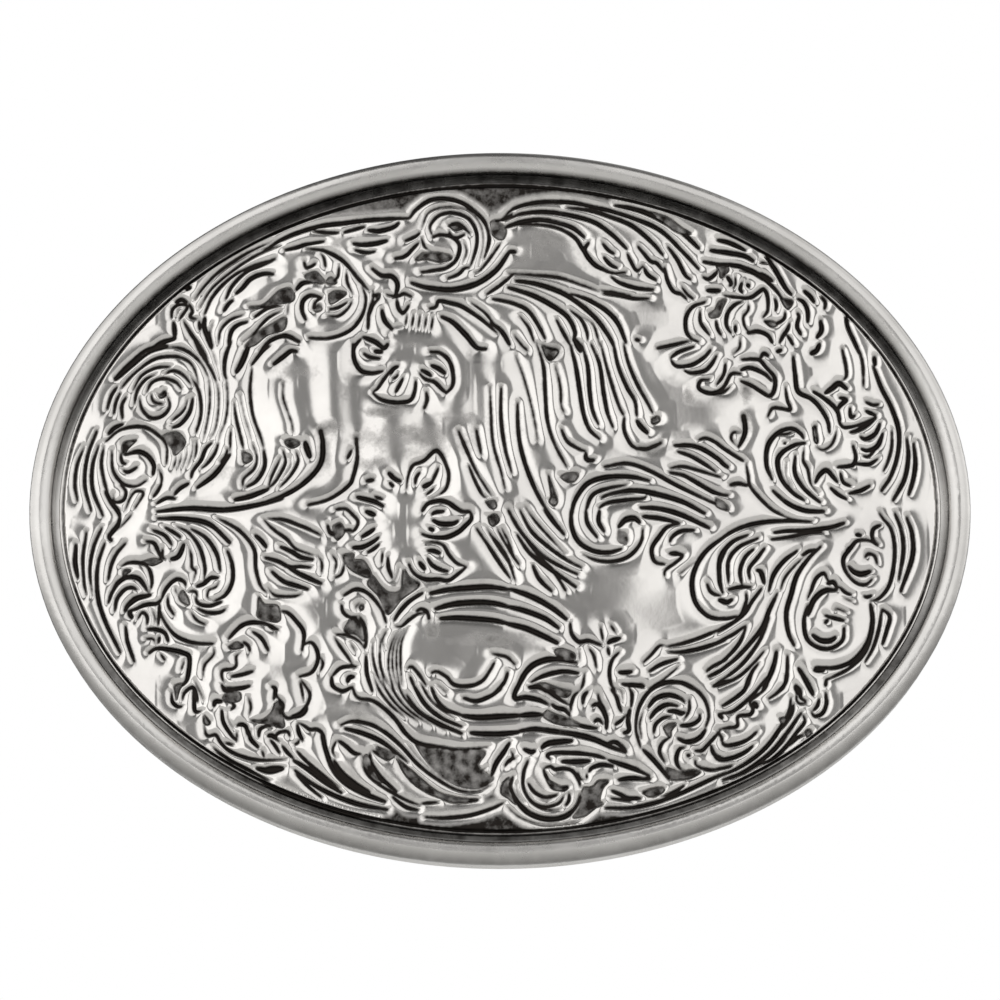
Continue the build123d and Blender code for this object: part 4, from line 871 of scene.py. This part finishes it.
pit((0.3, -28.4), (1, -27.9), (0.9, -29.4), (1.6, -30.6), (0.8, -30), (0.1, -29.4))
pit((8.4, -28.9), (9.4, -28.8), (10, -28.2), (11, -28.2), (10.4, -29), (10.1, -30.2), (10.5, -30.6),
    (9.8, -30.9), (8.6, -31.8), (7.4, -32), (8.1, -30.8))
cut((0.6, -30.8), (2, -32), (4, -32.7), (6.2, -32.7), (8, -32.3), (9.2, -31.4), w=0.25)
cut((7.9, -27.2), (8.1, -27.9), (8.6, -28.2), w=0.3)
cut((9, -27.3), (9.4, -26.8), (10.4, -26.5), (11.6, -26.7), w=0.45)
cut((8.8, -27.4), (8.8, -28.1), w=0.25)
cut((10.9, -26), (12.4, -26.5), (13.8, -27), (15.2, -27.7), w=0.5)
cut((12, -28.1), (13.4, -27.9), (15.3, -28), w=0.5)
pit((14.4, -29.4), (15.4, -29), (16.6, -28.9), (16.4, -29.5), (15.2, -29.8))
cut((11.3, -29.2), (12.2, -29.6), (13, -30), (14.4, -30), w=0.5)
cut((11.2, -30), (12.6, -30.2), (13.6, -30.5), w=0.34)
cut((10.6, -31), (13.2, -31), (15.6, -30.5), (18, -29.6), (20.6, -28.4), (23, -27.2), w=0.45)
cut((18.8, -28.6), (17.6, -29.4), (16.2, -29.9), w=0.4)
cut((14.5, -24.9), (15.6, -26), (16.6, -27.2), (17.2, -28.1), w=0.5)
pit((16.8, -26.8), (17.6, -27), (18.4, -27.2), (19.6, -27), (20.4, -27.2), (19.4, -27.8),
    (18.2, -28), (17.3, -27.9))
cut((2.4, -24.9), (3.2, -25.2), (3.6, -25), w=0.5)
cut((1, -24.2), (0.4, -25.2), (-0.4, -26.4), (-0.9, -27.8), w=0.5)
cut((0.4, -26.8), (1, -26), (1.6, -25.9), w=0.3)
cut((1, -25), (1.3, -25.6), (1, -26.4), w=0.24)
cut((14.3, -24.8), (13.8, -22.8), (14.1, -20.6), (15.2, -18.8), (17, -17.9), (19, -18.1),
    (20.6, -19.4), (21.2, -21.2), (20.8, -22.8), w=0.4)
cut((14.4, -23.8), (14.2, -22.2), (14.7, -20.6), w=0.24)
cut((15, -20.6), (15.8, -19.6), (17, -19.2), (18.2, -19.5), (18.8, -20), w=0.5)
cut((15.2, -21.7), (15.9, -20.8), (17, -20.2), (18.2, -20.4), w=0.5)
cut((17, -20.9), (17.8, -20.9), (18.4, -21.1), (18.8, -21), w=0.55)
cut((15.6, -23.2), (15.8, -22.3), (16.6, -21.6), (17.6, -21.4), w=0.36)
pit((16.6, -22.6), (17.2, -22.2), (17.9, -22.2), (17.4, -22.9), (17.3, -23.6), (17, -23.4))
cut((18.2, -22.4), (19.4, -22.3), (20.2, -21.8), (20.3, -21.2), w=0.4)
cut((19.2, -19.6), (19.2, -20.8), (18.6, -22), w=0.3)
cut((18, -23.7), (19, -24.1), (20.2, -23.7), (20.9, -22.8), w=0.5)
cut((17.3, -23.6), (16.5, -24.2), (16.2, -25.2), (16.8, -26.4), w=0.34)
cut((18.9, -24.6), (18.2, -24.9), (17.9, -25.9), (18.2, -26.8), (18.9, -27.2), w=0.4)
cut((19, -25.5), (19.3, -25.5), w=0.3)
cut((19.7, -25), (20.5, -25), (21.1, -24.4), (21.8, -23.6), (22.4, -22.9), w=0.34)
cut((19.8, -26), (20, -26.6), (21.2, -27), (22.6, -26.9), w=0.34)
cut((21.4, -24.4), (21.8, -25.4), (23, -26), w=0.4)
# lower right: leaf with notched edge and the sheaf along the rim
cut((22.5, -20.4), (23.6, -19.7), (24.8, -18.7), (25.2, -17.6), (25.7, -16.4), w=0.4)
cut((22.4, -21.1), (23.6, -20.9), (24.8, -20), (26, -18.8), (27.2, -17.2), w=0.42)
cut((27.4, -17.2), (27, -18.4), (26, -19.3), (25.4, -19.9), (25.7, -20.6), (25.4, -21.2),
    (24.2, -21.4), (24.1, -22.4), (23.2, -22.6), (22.2, -22.8), w=0.36)
cut((25.8, -19.9), (26.1, -20.4), w=0.6)
cut((22.2, -21.2), (22.6, -21.6), w=0.45)
cut((29, -17), (28.9, -18.2), (28.2, -18.9), (27.2, -19.6), w=0.28)
cut((22.4, -23.6), (22.8, -24.4), (24, -24.3), (25.2, -23.8), (26.1, -23), w=0.36)
cut((22, -23), (22.5, -23.6), (22.6, -24.1), w=0.3)
cut((21.6, -25.2), (22.2, -25.9), (23.4, -25.8), (24.8, -25.2), (25.8, -24.4), w=0.42)
cut((22, -26.9), (22.8, -26.8), (23.8, -26.5), w=0.36)
cut((22, -27.8), (24.2, -26.8), (26, -25.6), (27.4, -24.2), (28.6, -22.4), (29.4, -20.8),
    (29.6, -19.4), w=0.45)
cut((22.5, -28.1), (24.4, -27.4), (26, -26.4), (27.8, -24.9), (29.4, -22.8), (30.2, -21.6),
    (30.7, -20.9), w=0.5)
cut((26.2, -26.4), (27.6, -25.9), (29, -24.6), (30.2, -23), (31, -21.9), (30.8, -21.2), w=0.45)
cut((25.2, -27), (26.4, -26.2), (27, -26.2), w=0.5)
cut((29.9, -20), (29.6, -21.2), (28.6, -22.8), w=0.4)
pit((28.4, -21.6), (29.1, -21.5), (28.8, -22.2))
cut((27.8, -25.2), (29, -23.8), (30, -22.4), w=0.24)
cut((29.4, -24.4), (30.2, -23.6), (31, -23.2), w=0.4)
pit((31, -23), (31.4, -22.7), (31.7, -23), (31.3, -23.5))
cut((30, -18), (30.5, -18.6), (30.6, -19.4), (31.2, -19.8), w=0.42)
cut((30.1, -18.8), (30.3, -19.9), (31.3, -20), w=0.3)
cut((30.6, -16.8), (31.3, -18), (31.9, -19.2), w=0.5)
cut((32.5, -19.4), (32.3, -20.2), (31.8, -20.8), w=0.34)
cut((33.1, -18.8), (33.2, -20), (32.8, -21), (32, -21.3), (31.6, -20.8), w=0.36)
cut((33.2, -17.4), (33.1, -18.2), w=0.3)

# ---------------------------------------------------------------- the plate's surface
WAVES = 9               # waves that make up a ripple
NEAR_CAP = 2.5          # ground further than this from a cut is all alike
TURN_AT, TURN_HALF = 0.14, 0.15     # middle and half-width of the bead on the plate's turned edge
SEAM_AT, SEAM_HALF = 0.36, 0.13     # the same of the fine groove inside it
EDGE_RISE = 0.22        # height of that bead and depth of that groove
EDGE_BAND = 0.6         # width of the plain edge of the plate
EDGE_GROUND = 0.17      # rise of the plain edge towards the ornament
FOLD_PITCH = 5.6        # spacing of the upright waves left of the middle
DARK_PATCHES = (        # dark patches, as (x, z, half-width, half-height, strength)
    (-9, 7.4, 6.0, 1.7, 0.50), (-11.5, 10, 2.2, 0.7, 0.60), (-17.3, 8.4, 1.5, 0.8, 0.70),
    (-17.6, 5.8, 0.9, 2.2, 0.45), (-20.5, 14.2, 2.4, 0.9, 0.40), (-13, 4.8, 2.0, 0.9, 0.40),
    (-4, 9.5, 3.0, 0.9, 0.40), (5, 16.5, 1.4, 0.8, 0.60), (19, 11.5, 0.7, 1.6, 0.45),
    (25, 12, 0.7, 1.2, 0.55), (25, 9, 0.9, 1.4, 0.50), (15.2, 6.2, 1.7, 0.9, 0.40),
    (-1, -13.4, 4.6, 0.8, 0.60), (-6.8, -12.6, 0.9, 1.3, 0.60), (5.8, -18.7, 2.0, 0.7, 0.55),
    (-13.4, -20.6, 3.0, 0.8, 0.40), (-9.4, 17, 2.0, 0.5, 0.40), (4, 25.4, 4.0, 2.0, 0.25),
    (-27.5, 3.6, 2.4, 1.2, 0.25), (-9, -7.5, 1.8, 1.2, 0.40), (-3.2, 13.8, 0.6, 2.6, 0.35),
    (-16.0, 12.5, 1.4, 2.0, 0.30), (19, -25, 5.0, 1.5, 0.15))
PATCH_DROP = 0.65       # the patches are drawn as they look; on the plate they lie this much lower


def ripple(size, seed):
    """Smooth irregular waves about size mm across, from -1 to 1."""
    rng = np.random.default_rng(seed)
    total = np.zeros(X.shape)
    for _ in range(WAVES):
        angle = rng.uniform(0, 2 * np.pi)
        k = 2 * np.pi * rng.uniform(0.7, 1.4) / size
        phase = rng.uniform(0, 2 * np.pi)
        total += np.sin(k * (X * np.cos(angle) + Z * np.sin(angle)) + phase)
    return total / (WAVES / 2)


def soften(field, cells):
    """A field blurred over a few cells."""
    for axis in (0, 1):
        total = np.zeros(field.shape)
        for k in range(-cells, cells + 1):
            total += np.roll(field, k, axis)
        field = total / (2 * cells + 1)
    return field


def ramp(value, low, high):
    """0 below low, 1 above high, straight between."""
    return np.clip((value - low) / (high - low), 0, 1)


def fade(distance, reach):
    """1 at a cut's edge, falling off over about reach mm."""
    return np.exp(-np.maximum(distance, 0) / reach)


def edge_distance(x, z):
    """Distance in from the plate's edge."""
    rho = np.hypot(x / FACE_A, z / FACE_B)
    slope = np.hypot(x / FACE_A**2, z / FACE_B**2) / np.maximum(rho, 1e-6)
    return (1 - rho) / np.maximum(slope, 1e-6)


def ground_waves():
    """The uneven ground: broad waves, fine waves and upright folds left of the middle."""
    folds = np.exp(-((X + 10) / 17) ** 2 - ((Z - 9.4) / 8) ** 2)
    upright = np.sin(2 * np.pi * (X + 0.10 * Z) / FOLD_PITCH + 0.8 * np.sin(X / 3.1))
    return 0.10 * ripple(13.0, 5) + 0.008 * ripple(4.0, 8) + 0.10 * folds * upright


def plate_height():
    """Height of the plate's surface in front of the rear surface."""
    swelling = 0.10 * (1 - fade(near, 0.22)) + 0.16 * (1 - fade(near, 0.75))
    turned = np.clip(1 - ((rim_in - TURN_AT) / TURN_HALF) ** 2, 0, 1)
    inner = SHEET + soften(swelling - sunk, 1) + ground_waves() * np.clip(rim_in / 2, 0, 1)
    edge = (SHEET + EDGE_GROUND * ramp(rim_in, EDGE_BAND / 2, EDGE_BAND)
            + EDGE_RISE * turned - EDGE_RISE * seam - np.clip(sunk, 0, 0.4) * (rim_in > 0.4))
    return np.where(rim_in < EDGE_BAND, edge, inner)


def dark_patches():
    """Strength of the dark patches."""
    clouds = np.zeros(X.shape)
    ragged = 0.35 * ripple(2.6, 21)
    for cx, cz, across, up, strength in DARK_PATCHES:
        reach = ((X - cx) / across) ** 2 + ((Z + PATCH_DROP - cz) / up) ** 2 + ragged
        clouds = np.maximum(clouds, strength * np.exp(-np.clip(reach, 0, 30)))
    return clouds


def plate_shade(height):
    """How dark each place is, 0 to 1: patina in the cuts, hollows and pits, with painted shade and
    painted reflection added.
    """
    hollow = np.clip(soften(height, 9) - height, 0, 1)
    # patina and painted reflection of the dark surroundings: the plain ground darkens towards the upper
    # and lower edges
    patina_and_dark_reflection = ramp(np.abs(Z) + 1.5 * ripple(7.0, 11), 24, 32) * ramp(near, 0.25, 0.85)
    total = 0.85 * dark_patches()
    total += np.clip(sunk / 0.26, 0, 1) * (0.78 + 0.15 * ripple(3.5, 17))
    total += np.clip(hollow * 4.0, 0, 0.7)
    # patina in the fine groove at the plate's edge, with painted shade making it darker towards top and
    # bottom
    total += 0.9 * seam * (rim_in < EDGE_BAND) * np.clip(0.25 + np.abs(Z) / 14, 0, 1)
    total += np.where(Z < 0, 0.85, 0.80) * patina_and_dark_reflection * (rim_in > 0.5)
    # painted shade on the slopes beside each cut
    total += 0.18 * fade(near, 0.40)
    # painted shade on the plate's turned edge, dark at top and bottom
    total += 0.55 * ramp(np.abs(Z), 20, 29) * (rim_in < 0.5)
    mottled = 0.76 + 0.14 * ripple(1.5, 31)      # the floor of the wide pits
    return np.clip(soften(np.where(near < PIT_NEAR + 0.05, mottled, total), 1), 0, 1)


near = np.minimum(near, NEAR_CAP)
rim_in = edge_distance(X, Z)
seam = np.clip(1 - np.abs(rim_in - SEAM_AT) / SEAM_HALF, 0, 1)
height = plate_height()
shade = plate_shade(height)


# ---------------------------------------------------------------- mesh of the face
COLS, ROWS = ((880, 666))


def sample(field, x, z):
    """A field's value at x, z."""
    fx, fz = (x - xs[0]) / CELL, (z - zs[0]) / CELL
    i, j = fz.astype(int), fx.astype(int)
    a, b = fx - j, fz - i
    return (field[i, j] * (1 - a) * (1 - b) + field[i, j + 1] * a * (1 - b)
            + field[i + 1, j] * (1 - a) * b + field[i + 1, j + 1] * a * b)


def on_bend(x, z, h):
    """Metres, in the row frame, of a point h in front of the rear surface."""
    turn = np.arcsin(x / (BEND_R + MID_DEPTH))
    return np.column_stack([np.ravel((BEND_R + h) * np.sin(turn)),
                            np.ravel(BEND_R - (BEND_R + h) * np.cos(turn)), np.ravel(z)]) / 1000


def face_mesh():
    """The ornamented surface on a grid squeezed into the ellipse, with a wall down to its underside."""
    u, v = np.meshgrid(np.linspace(-1, 1, COLS), np.linspace(-1, 1, ROWS))
    x = FACE_A * u * np.sqrt(1 - v * v / 2)
    z = FACE_B * v * np.sqrt(1 - u * u / 2)
    points = on_bend(x, z, sample(height, x, z))
    index = np.arange(ROWS * COLS).reshape(ROWS, COLS)
    quads = np.stack([index[:-1, :-1], index[:-1, 1:], index[1:, 1:], index[1:, :-1]], -1).reshape(-1, 4)
    loop = np.concatenate([index[0, :-1], index[:-1, -1], index[-1, :0:-1], index[:0:-1, 0]])
    below = len(points) + np.arange(len(loop))
    points = np.vstack([points, on_bend(x.ravel()[loop], z.ravel()[loop], np.full(len(loop), SEAT))])
    wall = np.column_stack([loop, below, np.roll(below, -1), np.roll(loop, -1)])
    quads = np.vstack([quads, wall])
    tone = np.concatenate([sample(shade, x, z).ravel(), np.full(len(loop), 1.0)])

    mesh = bpy.data.meshes.new("face_relief")
    mesh.vertices.add(len(points))
    mesh.vertices.foreach_set("co", points.astype(np.float32).ravel())
    mesh.loops.add(quads.size)
    mesh.loops.foreach_set("vertex_index", quads.astype(np.int32).ravel())
    mesh.polygons.add(len(quads))
    mesh.polygons.foreach_set("loop_start", np.arange(0, quads.size, 4, dtype=np.int32))
    mesh.polygons.foreach_set("use_smooth", np.ones(len(quads), bool))
    mesh.update(calc_edges=True)
    mesh.validate()
    # darkness at each point: patina, painted shade and painted reflection
    dark = mesh.attributes.new("patina_and_shade", "FLOAT", "POINT")
    dark.data.foreach_set("value", tone.astype(np.float32))
    return mesh


face = bpy.data.objects.new("face_relief", face_mesh())
bpy.context.scene.collection.objects.link(face)
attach(face, "buckle")
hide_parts("face_plate")


# ---------------------------------------------------------------- shader helpers
def material(name):
    m = bpy.data.materials.new(name)
    m.use_nodes = True
    nt = m.node_tree
    return m, nt, nt.nodes["Principled BSDF"]


def node(nt, kind, **values):
    """A new node, with the values of its inputs."""
    n = nt.nodes.new(kind)
    for key, value in values.items():
        n.inputs[key.replace("_", " ")].default_value = value
    return n


def feed(nt, socket, value):
    """Sets a socket to a number, or links it."""
    if isinstance(value, (int, float)):
        socket.default_value = value
    else:
        nt.links.new(value, socket)


def maths(nt, operation, a, b=None, clamp=False):
    n = nt.nodes.new("ShaderNodeMath")
    n.operation, n.use_clamp = operation, clamp
    feed(nt, n.inputs[0], a)
    if b is not None:
        feed(nt, n.inputs[1], b)
    return n.outputs[0]


def vector(nt, operation, source, value=None):
    n = nt.nodes.new("ShaderNodeVectorMath")
    n.operation = operation
    nt.links.new(source, n.inputs[0])
    if value is not None:
        n.inputs[1].default_value = value
    return n.outputs["Value" if operation == "LENGTH" else "Vector"]


def coordinates(nt, kind="Object"):
    return nt.nodes.new("ShaderNodeTexCoord").outputs[kind]


def axes(nt, source):
    """The x, y and z of a vector."""
    n = nt.nodes.new("ShaderNodeSeparateXYZ")
    nt.links.new(source, n.inputs[0])
    return n.outputs[0], n.outputs[1], n.outputs[2]


def noise(nt, scale, detail=4.0, rough=0.55, stretch=None):
    """Noise in the piece's own coordinates, scale in waves per metre."""
    where = coordinates(nt)
    if stretch:
        where = vector(nt, "MULTIPLY", where, stretch)
    n = node(nt, "ShaderNodeTexNoise", Scale=scale, Detail=detail, Roughness=rough)
    nt.links.new(where, n.inputs["Vector"])
    return n.outputs["Fac"]


def spread(nt, source, low, high, to_low=0.0, to_high=1.0):
    """A value stretched from one range to another, and kept inside it."""
    r = node(nt, "ShaderNodeMapRange", From_Min=low, From_Max=high, To_Min=to_low, To_Max=to_high)
    nt.links.new(source, r.inputs["Value"])
    return r.outputs["Result"]


def blend(nt, factor, first, second):
    """Colour between first and second, each a colour or another node's output."""
    mix = nt.nodes.new("ShaderNodeMix")
    mix.data_type = "RGBA"
    for socket, value in ((6, first), (7, second)):
        if isinstance(value, tuple):
            mix.inputs[socket].default_value = (*value, 1)
        else:
            nt.links.new(value, mix.inputs[socket])
    nt.links.new(factor, mix.inputs[0])
    return mix.outputs[2]


def bump(nt, shader, grain, distance):
    b = node(nt, "ShaderNodeBump", Distance=distance, Strength=1.0)
    nt.links.new(grain, b.inputs["Height"])
    nt.links.new(b.outputs["Normal"], shader.inputs["Normal"])


# ---------------------------------------------------------------- materials
PATINA_AND_SHADE = (0.020, 0.018, 0.016)      # dark colour of patina in the rim's low places, also laid on as painted shade and painted reflection


def metal(name, light, dull, rough, grain, stretch=None, depth=2e-6, size=900.0):
    """Plated metal: cloudy in tone, grained, with a roughness that varies."""
    m, nt, p = material(name)
    p.inputs["Metallic"].default_value = 1.0
    cloud = spread(nt, noise(nt, 120.0), 0.35, 0.7)
    nt.links.new(blend(nt, cloud, light, dull), p.inputs["Base Color"])
    worn = noise(nt, 260.0, 6.0)
    nt.links.new(spread(nt, worn, 0.3, 0.7, rough - grain, rough + grain), p.inputs["Roughness"])
    bump(nt, p, noise(nt, size, 5.0, 0.6, stretch), depth)
    return m


def groove_patina_and_shade(m):
    """Dark patina and painted shade in the groove round the plate, on the bead's slopes and where bead
    meets side wall; painted reflection of dark surroundings on the bead's outer slope.
    """
    nt = m.node_tree
    p = nt.nodes["Principled BSDF"]
    where = coordinates(nt)

    # millimetres in from the outline, from the ellipse's formula
    a, b = HALF_W / 1000, HALF_H / 1000
    rho = vector(nt, "LENGTH", vector(nt, "MULTIPLY", where, (1 / a, 0, 1 / b)))
    slope = vector(nt, "LENGTH", vector(nt, "MULTIPLY", where, (1 / a**2, 0, 1 / b**2)))
    inward = maths(nt, "MULTIPLY", maths(nt, "SUBTRACT", 1.0, rho), rho)
    inset = maths(nt, "MULTIPLY", maths(nt, "DIVIDE", inward, slope), 1000.0)

    # millimetres in front of the rear surface, which is bent about an upright axis
    flat = vector(nt, "SUBTRACT", vector(nt, "MULTIPLY", where, (1, 1, 0)), (0, BEND_R / 1000, 0))
    front = maths(nt, "SUBTRACT", vector(nt, "LENGTH", flat), BEND_R / 1000)
    front = maths(nt, "MULTIPLY", front, 1000.0)

    level = vector(nt, "LENGTH", vector(nt, "MULTIPLY", where, (0, 0, 1000 / HALF_H)))
    # painted shade: these dark marks are strong at top and bottom and weak at the sides, as the light
    # falls
    strength = spread(nt, level, 0.0, 0.45, 0.15, 1.0)      # weak at the two ends of the buckle
    below = spread(nt, axes(nt, where)[2], -0.008, -0.022)  # 1 along the lower part of the rim

    inside = maths(nt, "SUBTRACT", inset, maths(nt, "MULTIPLY", below, 0.40))
    groove = maths(nt, "MULTIPLY", spread(nt, inside, 1.75, 2.20), strength)
    facing = maths(nt, "LESS_THAN", axes(nt, coordinates(nt, "Normal"))[1], 0.2)
    groove = maths(nt, "MULTIPLY", groove, facing)

    # patina and painted shade along the crease where bead meets side wall
    from_line = maths(nt, "ABSOLUTE", maths(nt, "SUBTRACT", front, EDGE_H))
    line = maths(nt, "SUBTRACT", 1.0, maths(nt, "DIVIDE", from_line, 0.22), True)
    line = maths(nt, "MULTIPLY", line, maths(nt, "LESS_THAN", inset, 0.6))
    line = maths(nt, "MULTIPLY", line, maths(nt, "MULTIPLY", strength, 0.6))

    # painted reflection of the dark surroundings on the bead's outer slope, wider along the lower part
    reach = maths(nt, "ADD", 0.75, maths(nt, "MULTIPLY", below, 0.45))
    outer = maths(nt, "SUBTRACT", 1.0, maths(nt, "DIVIDE", inset, reach), True)
    outer = maths(nt, "MULTIPLY", outer, maths(nt, "MULTIPLY", strength, 0.75))
    outer = maths(nt, "MULTIPLY", outer, spread(nt, front, 2.95, 3.15))

    worn = spread(nt, noise(nt, 700.0, 5.0, 0.6), 0.3, 0.7, 0.74, 0.96)
    dark = maths(nt, "MAXIMUM", groove, maths(nt, "MAXIMUM", line, outer))
    dark = maths(nt, "MULTIPLY", dark, worn)
    clean = p.inputs["Base Color"].links[0].from_socket
    nt.links.new(blend(nt, dark, clean, PATINA_AND_SHADE), p.inputs["Base Color"])


def filler():
    """Dull grey fill between the plates."""
    m, nt, p = material("core_filler")
    grey = blend(nt, noise(nt, 500.0), (0.20, 0.19, 0.18), (0.36, 0.35, 0.33))
    nt.links.new(grey, p.inputs["Base Color"])
    p.inputs["Roughness"].default_value = 0.85
    return m


def struck_face():
    """Bright silver, darkened by the mesh's per-point value: patina in the cuts, hollows and pits, and
    painted shade and painted reflection.
    """
    m, nt, p = material("face_patina_and_shade")
    p.inputs["Metallic"].default_value = 1.0
    patina_and_shade = nt.nodes.new("ShaderNodeAttribute")
    patina_and_shade.attribute_name = "patina_and_shade"
    grime = spread(nt, noise(nt, 900.0, 6.0, 0.7), 0.3, 0.7, -0.16, 0.16)
    patina_and_shade_mix = spread(nt, maths(nt, "ADD", patina_and_shade.outputs["Fac"], grime), 0.15, 0.86)
    cloud = spread(nt, noise(nt, 150.0), 0.35, 0.7)
    silver = blend(nt, cloud, (0.68, 0.665, 0.645), (0.58, 0.565, 0.55))
    # the dark colour stands both for patina and for painted shade and painted reflection
    nt.links.new(blend(nt, patina_and_shade_mix, silver, (0.022, 0.019, 0.017)), p.inputs["Base Color"])
    nt.links.new(spread(nt, patina_and_shade_mix, 0.0, 1.0, 0.13, 0.55), p.inputs["Roughness"])
    bump(nt, p, noise(nt, 1400.0, 6.0, 0.65), 5e-6)
    return m


rim_metal = metal("rim_satin", (0.62, 0.61, 0.595), (0.54, 0.53, 0.515), 0.27, 0.05,
                  depth=4e-6, size=2600.0)
groove_patina_and_shade(rim_metal)
back_metal = metal("back_brushed", (0.66, 0.65, 0.63), (0.56, 0.55, 0.53), 0.34, 0.06,
                   stretch=(1.0, 1.0, 14.0), depth=5e-6, size=700.0)
fitting = metal("fitting_plated", (0.62, 0.61, 0.60), (0.52, 0.51, 0.50), 0.32, 0.07,
                depth=4e-6, size=1500.0)
wire = metal("wire_plated", (0.74, 0.73, 0.72), (0.66, 0.65, 0.64), 0.20, 0.05,
             depth=2e-6, size=1200.0)
rivets = metal("rivet_plated", (0.70, 0.69, 0.67), (0.58, 0.57, 0.55), 0.27, 0.06,
               depth=4e-6, size=1600.0)
struck = struck_face()

face.data.materials.append(struck)
PAINT = {"rim_frame": rim_metal, "back_plate": back_metal, "filler_core": filler(),
         "face_plate": struck, "bail_loop": wire, "hook_post": wire, "hook_foot": fitting,
         "bail_saddle_upper": fitting, "bail_saddle_lower": fitting}
for name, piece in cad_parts.items():
    piece.data.materials.clear()
    piece.data.materials.append(PAINT.get(name, rivets))

# ---------------------------------------------------------------- studio
AMBIENT = 0.14
SOFTBOXES = (           # azimuth, elevation, half-width and half-height in degrees, fade, power
    (66, 16, 62, 52, 4, 0.99),      # right of the front
    (-70, 16, 63, 52, 4, 1.20),     # left of the front
    (180, 30, 100, 50, 25, 0.45),   # behind
    (0, 12, 60, 20, 12, 0.18))      # weak fill at the front
DEGREES = 57.2958       # in a radian
FLOOR_Z = -0.26


def studio_floor():
    bpy.ops.mesh.primitive_plane_add(size=8.0, location=(0, 0, FLOOR_Z))
    floor = bpy.context.object
    floor.name = "floor"
    m, nt, p = material("floor_pale")
    pale = blend(nt, noise(nt, 3.0), (0.84, 0.84, 0.83), (0.88, 0.88, 0.87))
    nt.links.new(pale, p.inputs["Base Color"])
    p.inputs["Roughness"].default_value = 0.7
    floor.data.materials.append(m)
    return floor


def softbox(nt, ray, azimuth, elevation, half_across, half_up, edge, power):
    """A soft rectangle of light: degrees round from the front towards +X, and up from level."""
    x, y, z = ray
    a = maths(nt, "MULTIPLY", maths(nt, "ARCTAN2", x, maths(nt, "MULTIPLY", y, -1.0)), DEGREES)
    e = maths(nt, "MULTIPLY", maths(nt, "ARCSINE", z), DEGREES)
    bright = []
    for angle, middle, half in ((a, azimuth, half_across), (e, elevation, half_up)):
        off = maths(nt, "ABSOLUTE", maths(nt, "SUBTRACT", angle, middle))
        bright.append(maths(nt, "DIVIDE", maths(nt, "SUBTRACT", half, off), edge, True))
    return maths(nt, "MULTIPLY", maths(nt, "MULTIPLY", *bright), power)


def studio_world():
    """Soft boxes that light the object, and plain white where the camera sees past it."""
    world = bpy.data.worlds.new("studio")
    world.use_nodes = True
    nt = world.node_tree
    nt.nodes.clear()
    ray = axes(nt, coordinates(nt, "Generated"))
    light = AMBIENT
    for box in SOFTBOXES:
        light = maths(nt, "ADD", light, softbox(nt, ray, *box))
    lit, seen = nt.nodes.new("ShaderNodeBackground"), nt.nodes.new("ShaderNodeBackground")
    lit.inputs["Color"].default_value = (1.0, 0.992, 0.98, 1)
    nt.links.new(light, lit.inputs["Strength"])
    seen.inputs["Color"].default_value = (1, 1, 1, 1)
    seen.inputs["Strength"].default_value = 1.0
    mixed = nt.nodes.new("ShaderNodeMixShader")
    nt.links.new(nt.nodes.new("ShaderNodeLightPath").outputs["Is Camera Ray"], mixed.inputs[0])
    nt.links.new(lit.outputs[0], mixed.inputs[1])
    nt.links.new(seen.outputs[0], mixed.inputs[2])
    nt.links.new(mixed.outputs[0], nt.nodes.new("ShaderNodeOutputWorld").inputs["Surface"])
    return world


scene = bpy.context.scene
floor = studio_floor()
scene.world = studio_world()
scene.view_settings.view_transform = "Standard"
scene.view_settings.look = "None"

# ---------------------------------------------------------------- camera
TILT = math.radians(13.0)       # looks up at the face from this far below level
LENS, SENSOR = 135.0, 36.0
FIELD = 0.10155                 # metres across the picture, at the buckle
AIM_UP = 0.00090

camera = bpy.data.objects.new("camera", bpy.data.cameras.new("camera"))
scene.collection.objects.link(camera)
camera.data.lens = LENS
camera.data.sensor_width = SENSOR
camera.data.clip_start, camera.data.clip_end = 0.01, 20.0
away = FIELD * LENS / SENSOR
camera.location = (0.0, -away * math.cos(TILT) - AIM_UP * math.sin(TILT),
                   -away * math.sin(TILT) + AIM_UP * math.cos(TILT))
camera.rotation_euler = (math.pi / 2 + TILT, 0.0, 0.0)
scene.camera = camera
